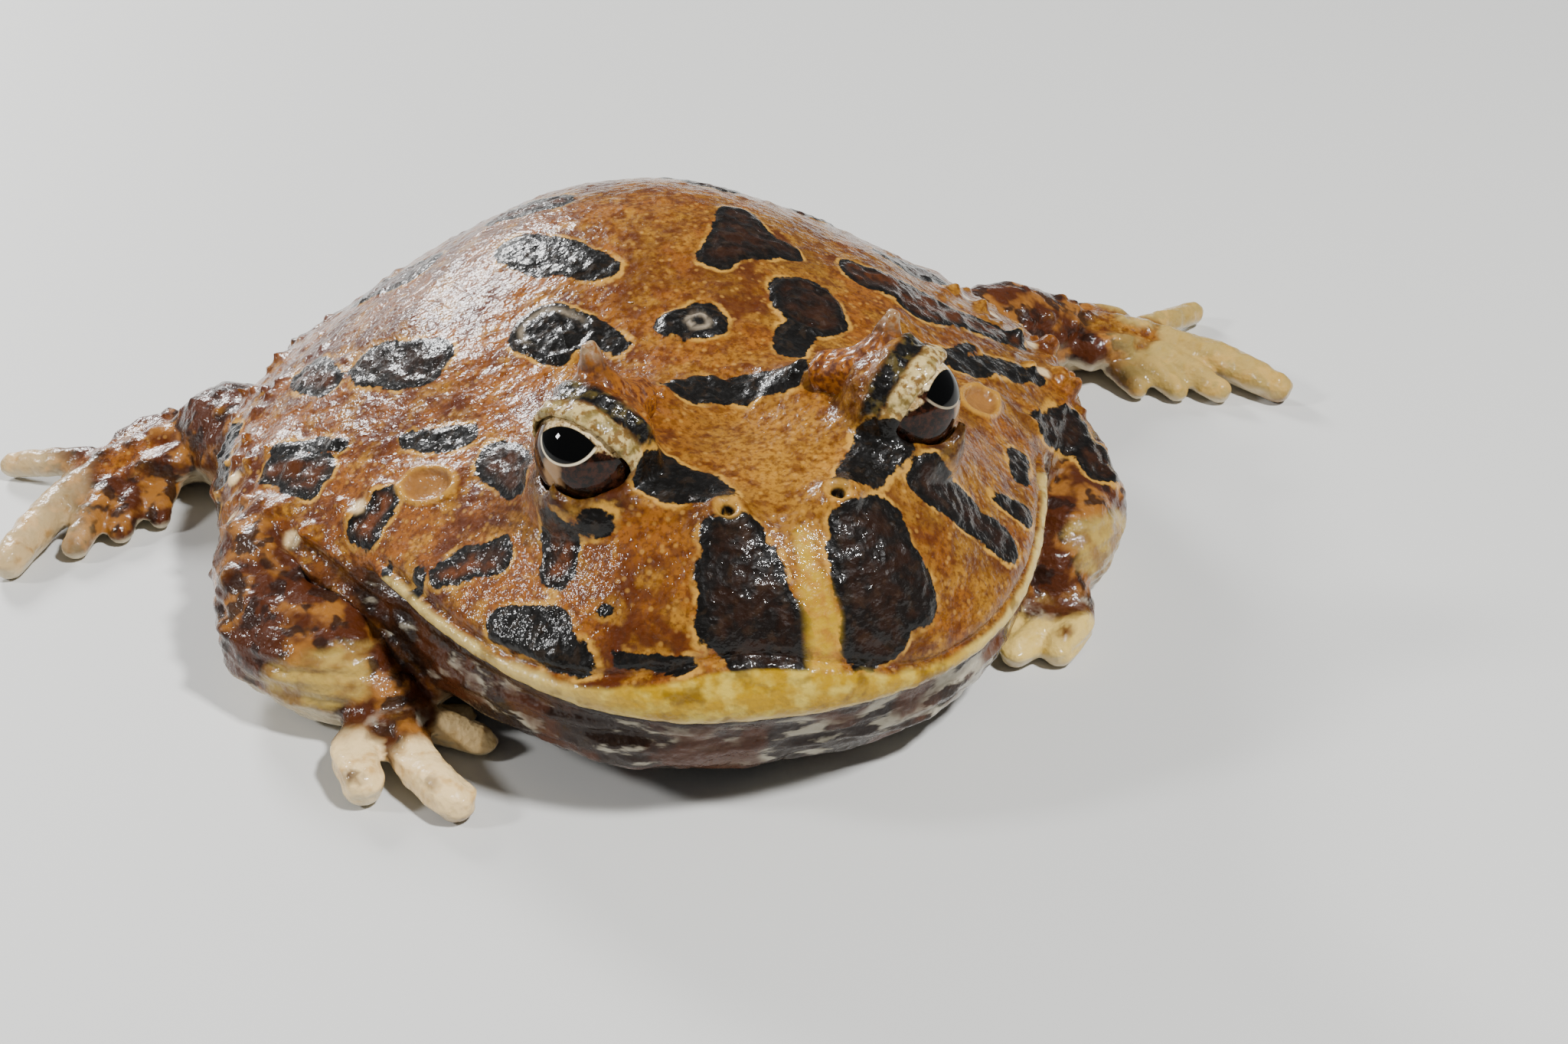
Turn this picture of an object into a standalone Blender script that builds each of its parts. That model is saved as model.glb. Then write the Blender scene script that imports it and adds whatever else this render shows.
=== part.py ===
"""Argentine horned frog, life size, sitting still with its belly on the floor.

Lengths are in millimetres and turned into metres where a mesh is made. The frog faces -Y, +Z is up,
its left side is +X, and the origin is the middle of the flat under its belly.
"""

import math

import bmesh
import bpy
import numpy as np
from mathutils import Matrix, Vector

MM = 0.001
GAP = 0.3

# Driving sizes of the frog.
SNOUT_Y = -57.0
RUMP_Y = 52.4
HEAD_HALF_WIDTH = 36.6
BODY_HALF_WIDTH = 54.0
BACK_HEIGHT = 41.2
HEAD_HEIGHT = 34.6
LIP_HEIGHT = 14.0
MOUTH_RISE = 3.4
BELLY_SINK = 0.8

# The head ends behind the eardrums, on a plane that leans back towards the top.
NECK_Y = -15.0
NECK_LEAN = 0.12

EYE_CENTRE = Vector((17.2, -35.2, 35.8))
EYE_RADIUS = 5.6
EYE_OPENS = Vector((0.74, -0.62, -0.20)).normalized()
LID_THICKNESS = 1.5
LID_EDGE = 0.7
HORN_ROOT = Vector((-1.6, 2.6, 2.6))
HORN_EDGE = Vector((-6.2, 6.6, 3.6))
HORN_TIP = Vector((15.8, -31.4, 46.3))
NOSTRIL = Vector((5.7, -46.6, 32.4))
NOSTRIL_SIZE = (0.95, 0.95, 2.0)
WARTS = 18
EARDRUM = Vector((32.0, -19.9, 25.8))

# Stations along the body: y, half width, height of the widest point, top, underside,
# and the roundness of the upper and the lower half (2 is an ellipse, less is a tent).
STATIONS = (
    (SNOUT_Y, 0.0, 15.6, 15.6, 15.6, 1.9, 2.2),
    (-55.8, 9.6, 15.4, 22.4, 10.9, 1.9, 2.3),
    (-52.8, 17.4, 15.0, 27.0, 6.1, 1.85, 2.4),
    (-48.8, 23.2, 14.6, 31.0, 2.7, 1.8, 2.5),
    (-44.0, 27.8, 14.2, 32.8, 0.9, 1.75, 2.5),
    (-37.5, 32.4, 13.9, 33.9, -0.2, 1.7, 2.5),
    (-29.7, HEAD_HALF_WIDTH, 13.6, HEAD_HEIGHT, -BELLY_SINK, 1.6, 2.5),
    (-21.9, 41.0, 13.2, 35.4, -BELLY_SINK, 1.45, 2.5),
    (-14.0, 47.3, 12.7, 36.6, -BELLY_SINK, 1.26, 2.5),
    (-6.0, 52.5, 12.3, 38.5, -BELLY_SINK, 1.14, 2.5),
    (3.0, BODY_HALF_WIDTH, 12.1, 40.4, -BELLY_SINK, 1.08, 2.6),
    (12.0, 53.4, 12.2, BACK_HEIGHT, -BELLY_SINK, 1.07, 2.6),
    (22.0, 50.8, 12.2, 39.6, -BELLY_SINK, 1.1, 2.6),
    (31.0, 45.4, 11.9, 36.2, -BELLY_SINK, 1.2, 2.5),
    (39.0, 36.9, 11.5, 31.2, -0.5, 1.35, 2.4),
    (45.9, 25.5, 11.1, 25.4, 1.5, 1.5, 2.3),
    (50.3, 14.7, 10.9, 20.2, 5.0, 1.6, 2.2),
    (RUMP_Y, 0.0, 11.6, 11.6, 11.6, 1.7, 2.0),
)
# The limbs are not quite alike: the left hand is tucked under the jaw and the left leg reaches further out.
# All of them are given for the frog's left side, and fingers and toes as base, knuckle, tip and thickness.
ELBOWS = {"right": (49.3, -16.8, 7.2), "left": (45.6, -17.4, 7.0)}
WRISTS = {"right": (40.5, -27.2, 5.3), "left": (39.0, -27.0, 5.2)}
FINGERS = {
    "right": (
        ((38.5, -28.5, 2.9), (34.5, -29.0, 2.0), (31.5, -29.2, 1.1), 1.3),
        ((37.0, -30.5, 3.1), (33.8, -32.2, 2.3), (30.6, -34.6, 1.4), 1.8),
        ((38.5, -33.0, 3.3), (38.0, -38.6, 2.8), (35.2, -45.0, 1.8), 2.35),
        ((42.5, -31.5, 3.3), (44.2, -34.8, 3.0), (44.0, -39.4, 1.9), 2.45),
    ),
    "left": (
        ((38.0, -28.5, 2.8), (35.0, -28.6, 1.9), (32.5, -28.4, 1.0), 1.3),
        ((37.5, -30.0, 3.0), (34.5, -31.2, 2.1), (31.5, -32.4, 1.2), 1.6),
        ((38.0, -31.5, 3.2), (35.0, -34.2, 2.3), (31.0, -36.4, 1.4), 1.9),
        ((40.5, -31.0, 3.2), (39.4, -34.4, 2.5), (35.8, -37.6, 1.5), 2.0),
    ),
}
KNEES = {"right": (45.0, 24.0, 8.0), "left": (45.0, 25.0, 9.0)}
HEELS = {"right": (53.0, 35.0, 4.9), "left": (64.0, 30.0, 5.1)}
TOES = (
    ((6.0, -6.5, 3.0), (7.0, -9.4, 2.3), (7.4, -11.8, 1.3), 1.6),
    ((9.5, -7.0, 3.2), (11.2, -10.8, 2.5), (12.4, -13.8, 1.4), 1.8),
    ((12.5, -6.5, 3.4), (15.6, -11.4, 2.7), (17.8, -15.8, 1.5), 2.0),
    ((15.0, -4.0, 3.6), (20.5, -9.5, 3.1), (26.0, -18.0, 1.7), 2.5),
    ((13.5, 1.0, 3.6), (18.5, 3.6, 3.1), (25.0, 7.2, 1.8), 1.9),
)
# Toes start from the heel's place on the floor.
ON_FLOOR = Matrix.Diagonal((1, 1, 0))

# The ridge of the back and the flanks are rounded by this much.
ROUNDING = 8.0
RIDGE_BLUNTNESS = 0.24
ANGLE_STEP = 0.01

RINGS = 110
SPOKES = 112
FLESH_VOXEL = 0.75
LIMB_VOXEL = 0.5
HORN_VOXEL = 0.3
CUTTER_TRIANGLES = 5200

# How finely each kind of node is faceted.
BODY_TRIANGLES = 6200
HORN_TRIANGLES = 240
ARM_TRIANGLES = 360
HAND_TRIANGLES = 760
LEG_TRIANGLES = 360
FOOT_TRIANGLES = 880


def material(name, colour, roughness):
    made = bpy.data.materials.new(name)
    made.use_nodes = True
    shader = made.node_tree.nodes["Principled BSDF"]
    shader.inputs["Base Color"].default_value = (*colour, 1.0)
    shader.inputs["Roughness"].default_value = roughness
    made.diffuse_color = (*colour, 1.0)
    return made


def mesh_object(name, points, faces, finish=None):
    """A mesh object from points in millimetres."""
    mesh = bpy.data.meshes.new(name)
    mesh.from_pydata([tuple(Vector(p) * MM) for p in points], [], faces)
    mesh.update()
    made = bpy.data.objects.new(name, mesh)
    bpy.context.scene.collection.objects.link(made)
    if finish:
        mesh.materials.append(finish)
    return made


def settle(obj):
    """Bakes the object's modifiers into its mesh."""
    graph = bpy.context.evaluated_depsgraph_get()
    mesh = bpy.data.meshes.new_from_object(obj.evaluated_get(graph))
    obj.modifiers.clear()
    old = obj.data
    obj.data = mesh
    bpy.data.meshes.remove(old)


def remove(*objects):
    for obj in objects:
        bpy.data.objects.remove(obj)


def joined(name, pieces, finish):
    """One object that holds the meshes of all the pieces, still overlapping."""
    shell = bmesh.new()
    for piece in pieces:
        shell.from_mesh(piece.data)
    mesh = bpy.data.meshes.new(name)
    shell.to_mesh(mesh)
    shell.free()
    remove(*pieces)
    made = bpy.data.objects.new(name, mesh)
    bpy.context.scene.collection.objects.link(made)
    mesh.materials.append(finish)
    return made


def melt_together(obj, voxel, smoothing, triangles):
    """Fuses overlapping pieces into one skin, softens it and brings it down to so many triangles."""
    fuse = obj.modifiers.new("fuse", "REMESH")
    fuse.mode = "VOXEL"
    fuse.voxel_size = voxel * MM
    soften = obj.modifiers.new("soften", "SMOOTH")
    soften.factor = 0.5
    soften.iterations = smoothing
    settle(obj)
    thinned(obj, triangles)


def thinned(obj, triangles):
    """Brings the object down to about so many triangles."""
    now = sum(len(face.vertices) - 2 for face in obj.data.polygons)
    if now > triangles:
        thin = obj.modifiers.new("thin", "DECIMATE")
        thin.ratio = triangles / now
        thin.use_collapse_triangulate = True
        settle(obj)


def boolean(obj, operation, cutter, solver="EXACT"):
    cut = obj.modifiers.new(operation.lower(), "BOOLEAN")
    cut.operation = operation
    cut.solver = solver
    cut.object = cutter
    settle(obj)


def copy_of(obj, name):
    made = obj.copy()
    made.data = obj.data.copy()
    made.name = name
    bpy.context.scene.collection.objects.link(made)
    return made


def keep_largest(obj):
    """Keeps only the largest closed surface of the object."""
    shell = bmesh.new()
    shell.from_mesh(obj.data)
    shell.faces.ensure_lookup_table()
    unseen = set(shell.faces)
    groups = []
    while unseen:
        front = [unseen.pop()]
        group = list(front)
        while front:
            face = front.pop()
            for edge in face.edges:
                for beside in edge.link_faces:
                    if beside in unseen:
                        unseen.remove(beside)
                        front.append(beside)
                        group.append(beside)
        groups.append(group)
    groups.sort(key=lambda g: sum(f.calc_area() for f in g))
    loose = [face for group in groups[:-1] for face in group]
    bmesh.ops.delete(shell, geom=loose, context="FACES")
    shell.to_mesh(obj.data)
    shell.free()


def finish_node(obj, name, finish):
    """Cleans the mesh of a finished node, shades it and gives it its name and colour."""
    keep_largest(obj)
    shell = bmesh.new()
    shell.from_mesh(obj.data)
    bmesh.ops.dissolve_degenerate(shell, dist=0.002 * MM, edges=shell.edges)
    bmesh.ops.triangulate(shell, faces=[f for f in shell.faces if len(f.verts) > 4])
    shell.to_mesh(obj.data)
    shell.free()
    obj.name = name
    obj.data.name = name
    obj.data.materials.clear()
    obj.data.materials.append(finish)
    obj.data.shade_smooth()
    obj.data.set_sharp_from_angle(angle=math.radians(50))


def smooth_through(xs, ys, x):
    """A smooth curve through points, read at x."""
    slopes = np.gradient(ys, xs)
    i = int(np.clip(np.searchsorted(xs, x) - 1, 0, len(xs) - 2))
    span = xs[i + 1] - xs[i]
    t = (x - xs[i]) / span
    rise = ys[i] * (2 * t**3 - 3 * t**2 + 1) + ys[i + 1] * (3 * t**2 - 2 * t**3)
    bend = slopes[i] * (t**3 - 2 * t**2 + t) + slopes[i + 1] * (t**3 - t**2)
    return rise + bend * span


def body_section(y):
    """Half width, height of the widest point, rise above it, drop below it, and both roundnesses."""
    table = np.array(STATIONS)
    ys = table[:, 0]
    mid = smooth_through(ys, table[:, 2], y)
    half = math.sqrt(max(0.0, smooth_through(ys, table[:, 1] ** 2, y)))
    rise = math.sqrt(max(0.0, smooth_through(ys, (table[:, 3] - table[:, 2]) ** 2, y)))
    drop = math.sqrt(max(0.0, smooth_through(ys, (table[:, 2] - table[:, 4]) ** 2, y)))
    return half, mid, rise, drop, smooth_through(ys, table[:, 5], y), smooth_through(ys, table[:, 6], y)


def section_core(section, soft, angle):
    """The section's outline before it is rounded, a tent with a blunt ridge above and a bowl below."""
    half, mid, rise, drop, round_top, round_low = section
    s, c = math.sin(angle), math.cos(angle)
    across = half - soft
    if c <= 0:
        power = 2 / round_low
        return Vector((across * math.copysign(abs(s) ** power, s), -(drop - soft) * abs(c) ** power))
    blunt = RIDGE_BLUNTNESS * (2 - round_top)
    out = abs(s) ** (2 / round_top)
    reach = math.hypot(out, blunt * (1 - out))
    height = ((1 - reach**round_top) / (1 - blunt**round_top)) ** (1 / round_top) if reach < 1 else 0.0
    return Vector((across * math.copysign(out, s), (rise - soft) * height))


def section_point(y, angle):
    """The point of the body's surface at y, with the angle counted from the top of the back."""
    section = body_section(y)
    half, mid, rise, drop = section[:4]
    soft = min(ROUNDING, 0.42 * min(half, rise, drop))
    along = section_core(section, soft, angle + ANGLE_STEP) - section_core(section, soft, angle - ANGLE_STEP)
    edge = section_core(section, soft, angle) + Vector((-along.y, along.x)).normalized() * soft
    return Vector((edge.x, y, mid + edge.y))


def mound(point, centre, radii):
    """1 at the centre of a soft mound, falling to 0 around it. It is the same on both sides of the frog."""
    side = Vector((abs(point.x), point.y, point.z)) - centre
    return math.exp(-sum((side[k] / radii[k]) ** 2 for k in range(3)))


def ridge(point, start, end, width):
    """1 along a line from start to end, falling to 0 beside it, on both sides of the frog."""
    side = Vector((abs(point.x), point.y, point.z))
    along = end - start
    t = max(0.0, min(1.0, (side - start).dot(along) / along.length_squared))
    return math.exp(-(((side - start - along * t).length / width) ** 2))


def mouth_height(x):
    """Height of the mouth's line: it rises a little towards the corners."""
    return LIP_HEIGHT + MOUTH_RISE * (min(abs(x), HEAD_HALF_WIDTH) / HEAD_HALF_WIDTH) ** 2


def bump(distance, width):
    """1 where the distance is 0, falling softly to 0 over the width."""
    return math.exp(-((distance / width) ** 2))


def sculpted(point, normal):
    """Moves a point of the plain body to where the head's and the back's own forms put it."""
    side = 1 if point.x >= 0 else -1
    up = Vector((0, 0, 1))
    # The eyes stand up on mounds, with a crest behind them and a dip between.
    brow = Vector((0.35 * side, -0.1, 0.93))
    move = brow * 5.0 * mound(point, Vector((15.6, -33.2, 31.5)), (7.6, 8.4, 9.0))
    move -= up * 1.2 * mound(point, Vector((0, -31.5, 34.5)), (5.0, 8.0, 8.0))
    move += up * 3.0 * ridge(point, Vector((7.5, -26.0, 34.0)), Vector((14.0, -27.5, 34.0)), 2.9)
    # Ridges run from the eyes to the nostrils, and one down the middle of the snout.
    move += normal * 1.1 * ridge(point, Vector((12.5, -40.5, 31.5)), NOSTRIL, 2.8)
    move += normal * 1.0 * mound(point, NOSTRIL, (2.6, 2.6, 3.0))
    move += normal * 0.7 * ridge(point, Vector((0, -36, 33)), Vector((0, -57, 20)), 3.2)
    move += normal * 0.8 * ridge(point, Vector((8.0, -51.0, 28.0)), Vector((12.0, -54.5, 20.0)), 4.0)
    move -= normal * 0.9 * mound(point, Vector((22.5, -40.5, 27.0)), (5.0, 6.0, 5.0))
    # The upper lip stands out as a band over the mouth's line, and the chin falls away below it.
    if point.y < NECK_Y + 4:
        above = point.z - mouth_height(point.x)
        fade = 1 / (1 + math.exp((point.y + 22) / 2.5))
        lip = 1.3 * bump(above - 2.5, 2.2) - 0.9 * bump(above, 0.9)
        chin = -1.5 * bump(above + 4.0, 2.8)
        move += normal * fade * (lip + chin)
    drum = (Vector((abs(point.x), point.y, point.z)) - EARDRUM).length
    move += normal * 0.55 * bump(drum - 3.6, 1.0)
    # A soft fold runs back from each eye over the shoulder, and a low ridge down the spine.
    move += normal * 0.9 * ridge(point, Vector((19.0, -24.0, 33.5)), Vector((30.0, 8.0, 32.0)), 4.5)
    # The flank sinks between the jaw and the arm.
    move -= normal * 1.5 * mound(point, Vector((40, -16.5, 8)), (7, 4.0, 7))
    return point + move


def body_grid(name, finish):
    """The head and the torso as one closed skin of rings."""
    length = RUMP_Y - SNOUT_Y
    points = [Vector((0, SNOUT_Y, STATIONS[0][2]))]
    for i in range(1, RINGS):
        y = SNOUT_Y + length * (1 - math.cos(math.pi * i / RINGS)) / 2
        points += [section_point(y, 2 * math.pi * k / SPOKES) for k in range(SPOKES)]
    points.append(Vector((0, RUMP_Y, STATIONS[-1][2])))
    faces = []
    for k in range(SPOKES):
        nxt = (k + 1) % SPOKES
        faces.append((0, 1 + nxt, 1 + k))
        last = 1 + (RINGS - 2) * SPOKES
        faces.append((len(points) - 1, last + k, last + nxt))
        for i in range(RINGS - 2):
            a = 1 + i * SPOKES
            faces.append((a + k, a + nxt, a + SPOKES + nxt, a + SPOKES + k))
    made = mesh_object(name, points, faces, finish)
    shell = bmesh.new()
    shell.from_mesh(made.data)
    bmesh.ops.recalc_face_normals(shell, faces=shell.faces)
    shell.normal_update()
    for vert in shell.verts:
        vert.co = sculpted(vert.co / MM, vert.normal) * MM
    shell.to_mesh(made.data)
    shell.free()
    return made


def rounded_tube(name, path, radii, finish=None, spokes=20, flat=1.0, steps=5):
    """A tube with round ends on a smooth line through the path. flat squeezes it in height."""
    path = [Vector(p) for p in path]
    knots = np.arange(len(path), dtype=float)
    places, sizes = [], []
    for i in range((len(path) - 1) * steps + 1):
        t = i / steps
        places.append(Vector([smooth_through(knots, np.array([p[k] for p in path]), t) for k in range(3)]))
        sizes.append(float(smooth_through(knots, np.array(radii, dtype=float), t)))
    first, last = (places[1] - places[0]).normalized(), (places[-1] - places[-2]).normalized()
    cap = [math.radians(a) for a in (15, 35, 55, 75)]
    start = [(places[0] - first * sizes[0] * math.cos(a), sizes[0] * math.sin(a)) for a in cap]
    end = [(places[-1] + last * sizes[-1] * math.cos(a), sizes[-1] * math.sin(a)) for a in reversed(cap)]
    rings = start + list(zip(places, sizes)) + end
    points, faces = [], []
    up = Vector((0, 0, 1))
    for i, (centre, size) in enumerate(rings):
        ahead = rings[min(i + 1, len(rings) - 1)][0] - rings[max(i - 1, 0)][0]
        ahead.normalize()
        if abs(ahead.z) > 0.9:
            up = Vector((0, 1, 0))
        across = ahead.cross(up).normalized()
        rise = across.cross(ahead)
        for k in range(spokes):
            a = 2 * math.pi * k / spokes
            points.append(centre + across * size * math.cos(a) + rise * size * flat * math.sin(a))
    for i in range(len(rings) - 1):
        for k in range(spokes):
            a, b = i * spokes + k, i * spokes + (k + 1) % spokes
            faces.append((a, b, b + spokes, a + spokes))
    faces.append(tuple(reversed(range(spokes))))
    faces.append(tuple((len(rings) - 1) * spokes + k for k in range(spokes)))
    made = mesh_object(name, points, faces, finish)
    outward(made)
    return made


def outward(obj):
    shell = bmesh.new()
    shell.from_mesh(obj.data)
    bmesh.ops.recalc_face_normals(shell, faces=shell.faces)
    shell.to_mesh(obj.data)
    shell.free()


def ellipsoid(name, centre, radii, turn=0.0, segments=24, rings=14):
    shell = bmesh.new()
    bmesh.ops.create_uvsphere(shell, u_segments=segments, v_segments=rings, radius=1.0)
    place = Matrix.Translation(Vector(centre)) @ Matrix.Rotation(turn, 4, "Z") @ Matrix.Diagonal((*radii, 1.0))
    bmesh.ops.transform(shell, matrix=place, verts=shell.verts)
    bmesh.ops.scale(shell, vec=(MM, MM, MM), verts=shell.verts)
    mesh = bpy.data.meshes.new(name)
    shell.to_mesh(mesh)
    shell.free()
    made = bpy.data.objects.new(name, mesh)
    bpy.context.scene.collection.objects.link(made)
    return made


def mirrored(point, side):
    """A point that is given for the frog's left, put on the side asked for."""
    return Vector((point[0] * side, point[1], point[2]))


def hood(side):
    """The skin round one eye: a shell over the ball that leaves it open to the side and the front."""
    centre = mirrored(EYE_CENTRE, side)
    opens = mirrored(EYE_OPENS, side)
    shell = ellipsoid("hood", centre, [EYE_RADIUS + LID_THICKNESS] * 3, segments=40, rings=24)
    reach = 30.0
    cutter = box("opening", (-reach, -reach, LID_EDGE), (reach, reach, LID_EDGE + 2 * reach))
    place = opens.to_track_quat("Z", "Y").to_matrix().to_4x4()
    place.translation = centre * MM
    cutter.data.transform(place)
    boolean(shell, "DIFFERENCE", cutter)
    remove(cutter)
    return shell


def box(name, low, high):
    """A plain box between two corners, used for cutting."""
    (x0, y0, z0), (x1, y1, z1) = low, high
    points = [(x, y, z) for z in (z0, z1) for y in (y0, y1) for x in (x0, x1)]
    faces = [(0, 2, 3, 1), (4, 5, 7, 6), (0, 1, 5, 4), (2, 6, 7, 3), (0, 4, 6, 2), (1, 3, 7, 5)]
    return mesh_object(name, points, faces)


def behind_neck(name, shift):
    """Everything behind the neck's leaning plane, moved back by shift."""
    points = []
    for z in (-20.0, 80.0):
        front = NECK_Y + NECK_LEAN * z + shift
        points += [(x, y, z) for y, x in ((front, -90.0), (front, 90.0), (120.0, -90.0), (120.0, 90.0))]
    faces = [(0, 2, 3, 1), (4, 5, 7, 6), (0, 1, 5, 4), (2, 6, 7, 3), (0, 4, 6, 2), (1, 3, 7, 5)]
    made = mesh_object(name, points, faces)
    outward(made)
    return made


def below_mouth(name, shift):
    """Everything under the mouth's line, moved up by shift."""
    columns = 28
    xs = [-60.0 + 120.0 * i / columns for i in range(columns + 1)]
    points = []
    for y in (-90.0, 90.0):
        points += [(x, y, mouth_height(x) + shift) for x in xs]
        points += [(x, y, -20.0) for x in xs]
    n = len(xs)
    faces = []
    for i in range(columns):
        faces.append((i, i + 1, 2 * n + i + 1, 2 * n + i))
        faces.append((n + i, 3 * n + i, 3 * n + i + 1, n + i + 1))
        faces.append((i, n + i, n + i + 1, i + 1))
        faces.append((2 * n + i, 2 * n + i + 1, 3 * n + i + 1, 3 * n + i))
    faces.append((0, 2 * n, 3 * n, n))
    faces.append((n - 1, 2 * n - 1, 4 * n - 1, 3 * n - 1))
    made = mesh_object(name, points, faces)
    outward(made)
    return made


def swollen(obj, name, by):
    """A copy of the object that is larger by so much all round, to cut its neighbours clear of it."""
    made = copy_of(obj, name)
    swell = made.modifiers.new("swell", "DISPLACE")
    swell.mid_level = 0.0
    swell.strength = by * MM
    settle(made)
    return made


def stand_on_floor(obj):
    """Cuts a flat where the object reaches the floor."""
    floor = box("floor_cut", (-150, -150, -30), (150, 150, 0))
    boolean(obj, "DIFFERENCE", floor)
    remove(floor)


def flank_warts(side):
    """Pointed warts along the flank, larger towards its widest line."""
    warts = []
    chance = np.random.default_rng(7 + side)
    for i in range(WARTS):
        y = -10.0 + 50.0 * (i + chance.uniform(0.0, 1.0)) / WARTS
        angle = math.radians(chance.uniform(66.0, 98.0))
        root = section_point(y, side * angle)
        middle = Vector((0, y, 10.0))
        out = (root - middle).normalized() + Vector((0, chance.uniform(-0.4, 0.2), chance.uniform(0.0, 0.5)))
        size = chance.uniform(0.6, 1.25)
        tip = root + out.normalized() * size * 2.0
        warts.append(rounded_tube("wart", [root - out * 0.6, tip], (size * 1.25, size * 0.6), spokes=10, steps=2))
    return warts


def flesh_body(finish):
    """Head, jaw and torso in one piece."""
    pieces = [body_grid("body", finish)]
    for side in (-1, 1):
        pieces.append(hood(side))
        pieces += flank_warts(side)
    body = joined("flesh", pieces, finish)
    melt_together(body, FLESH_VOXEL, 3, BODY_TRIANGLES)
    stand_on_floor(body)
    return body


def open_sockets(body):
    """Cuts the eye sockets and the nostrils."""
    for side in (-1, 1):
        socket = ellipsoid("socket", mirrored(EYE_CENTRE, side), [EYE_RADIUS + GAP] * 3, segments=20, rings=12)
        boolean(body, "DIFFERENCE", socket)
        pit_centre = mirrored(NOSTRIL + Vector((0.4, -0.2, 1.4)), side)
        pit = ellipsoid("pit", pit_centre, NOSTRIL_SIZE, segments=8, rings=6)
        boolean(body, "DIFFERENCE", pit)
        remove(socket, pit)


def split_body(body, skin):
    """Parts the flesh with thin cuts into head, lower jaw and torso."""
    half = GAP / 2
    behind_far, behind_near = behind_neck("behind_far", half), behind_neck("behind_near", -half)
    under_high, under_low = below_mouth("under_high", half), below_mouth("under_low", -half)
    torso = copy_of(body, "torso")
    boolean(torso, "INTERSECT", behind_far)
    front = copy_of(body, "front")
    boolean(front, "DIFFERENCE", behind_near)
    head = copy_of(front, "head")
    boolean(head, "DIFFERENCE", under_high)
    jaw = copy_of(front, "jaw")
    boolean(jaw, "INTERSECT", under_low)
    finish_node(torso, "torso", skin)
    finish_node(head, "head", skin)
    finish_node(jaw, "lower_jaw", skin)
    remove(behind_far, behind_near, under_high, under_low, front)
    return torso, head, jaw


def eye(side, label, finish):
    ball = ellipsoid(f"eye_{label}", mirrored(EYE_CENTRE, side), [EYE_RADIUS] * 3, segments=20, rings=12)
    finish_node(ball, f"eye_{label}", finish)
    return ball


def horn(side, label, clear_body, finish):
    """The pointed tip of the upper lid, with an edge that runs in to the crest behind the eye."""
    root, edge = EYE_CENTRE + HORN_ROOT, EYE_CENTRE + HORN_EDGE
    spike = [root, root.lerp(HORN_TIP, 0.55) + Vector((-0.3, 0.4, 0)), HORN_TIP]
    blade = [edge, edge.lerp(HORN_TIP, 0.55) + Vector((0, 0, -0.6)), HORN_TIP - Vector((0, 0, 0.4))]
    pieces = [
        rounded_tube("spike", [mirrored(p, side) for p in spike], (4.4, 2.3, 0.5), flat=0.75, steps=3),
        rounded_tube("blade", [mirrored(p, side) for p in blade], (1.5, 1.2, 0.5), spokes=12, steps=3),
    ]
    made = joined("horn", pieces, finish)
    melt_together(made, HORN_VOXEL, 1, 4 * HORN_TRIANGLES)
    boolean(made, "DIFFERENCE", clear_body)
    ball = ellipsoid("ball", mirrored(EYE_CENTRE, side), [EYE_RADIUS + GAP] * 3, segments=20, rings=12)
    boolean(made, "DIFFERENCE", ball)
    remove(ball)
    thinned(made, HORN_TRIANGLES)
    finish_node(made, f"horn_{label}", finish)


def is_closed(obj):
    """Whether every edge of the object is shared by exactly two faces."""
    shell = bmesh.new()
    shell.from_mesh(obj.data)
    sound = all(len(edge.link_faces) == 2 for edge in shell.edges)
    shell.free()
    return sound


def limb(name, pieces, triangles, neighbours, finish):
    """One part of a limb: its pieces fused, cut clear of its neighbours and set down on the floor."""
    whole = joined(name, pieces, finish)
    melt_together(whole, LIMB_VOXEL, 2, triangles)
    for neighbour in neighbours:
        boolean(whole, "DIFFERENCE", neighbour)
    made = copy_of(whole, name)
    thinned(made, int(triangles * 1.25))
    stand_on_floor(made)
    if not is_closed(made):
        remove(made)
        made = copy_of(whole, name)
        stand_on_floor(made)
    remove(whole)
    clear = swollen(made, f"swollen_{name}", GAP)
    finish_node(made, name, finish)
    return clear


def placed(points, origin, side):
    """Points given from a limb's own origin on the frog's left, put on the side asked for."""
    return [mirrored(Vector(origin) + Vector(p), side) for p in points]


def arm(side, label, swollen_body, skin, elbow, wrist, fingers):
    """Upper arm, forearm and hand. Elbow, wrist and the fingers' ends are given for the frog's left."""
    elbow = Vector(elbow)
    shoulder = [elbow + Vector(p) for p in ((-8.0, 16.5, 7.0), (-1.0, 9.0, 3.8), (0.0, 0.5, 0.8))]
    upper = rounded_tube("upper", [mirrored(p, side) for p in shoulder], (7.4, 7.0, 6.4), steps=4)
    upper_clear = limb(f"upper_arm_{label}", [upper], ARM_TRIANGLES, [swollen_body], skin)
    wrist = Vector(wrist)
    middle = elbow.lerp(wrist, 0.45) + Vector((0, 0, 0.6))
    lower = rounded_tube("lower", [mirrored(p, side) for p in (elbow, middle, wrist)], (6.2, 6.8, 4.4), steps=4)
    lower_clear = limb(f"forearm_{label}", [lower], ARM_TRIANGLES, [swollen_body, upper_clear], skin)
    palm = wrist + Vector((-1.2, -3.6, -1.4))
    pieces = [ellipsoid("palm", mirrored(palm, side), (6.0, 5.4, 3.1), turn=-0.5 * side)]
    for base, knuckle, tip, thick in fingers:
        path = [mirrored(Vector(p), side) for p in (base, knuckle, tip)]
        pieces.append(rounded_tube("finger", path, (thick * 0.95, thick, thick * 0.86), spokes=14, steps=3))
    hand_clear = limb(f"hand_{label}", pieces, HAND_TRIANGLES, [swollen_body, lower_clear], skin)
    remove(upper_clear, lower_clear, hand_clear)


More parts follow.
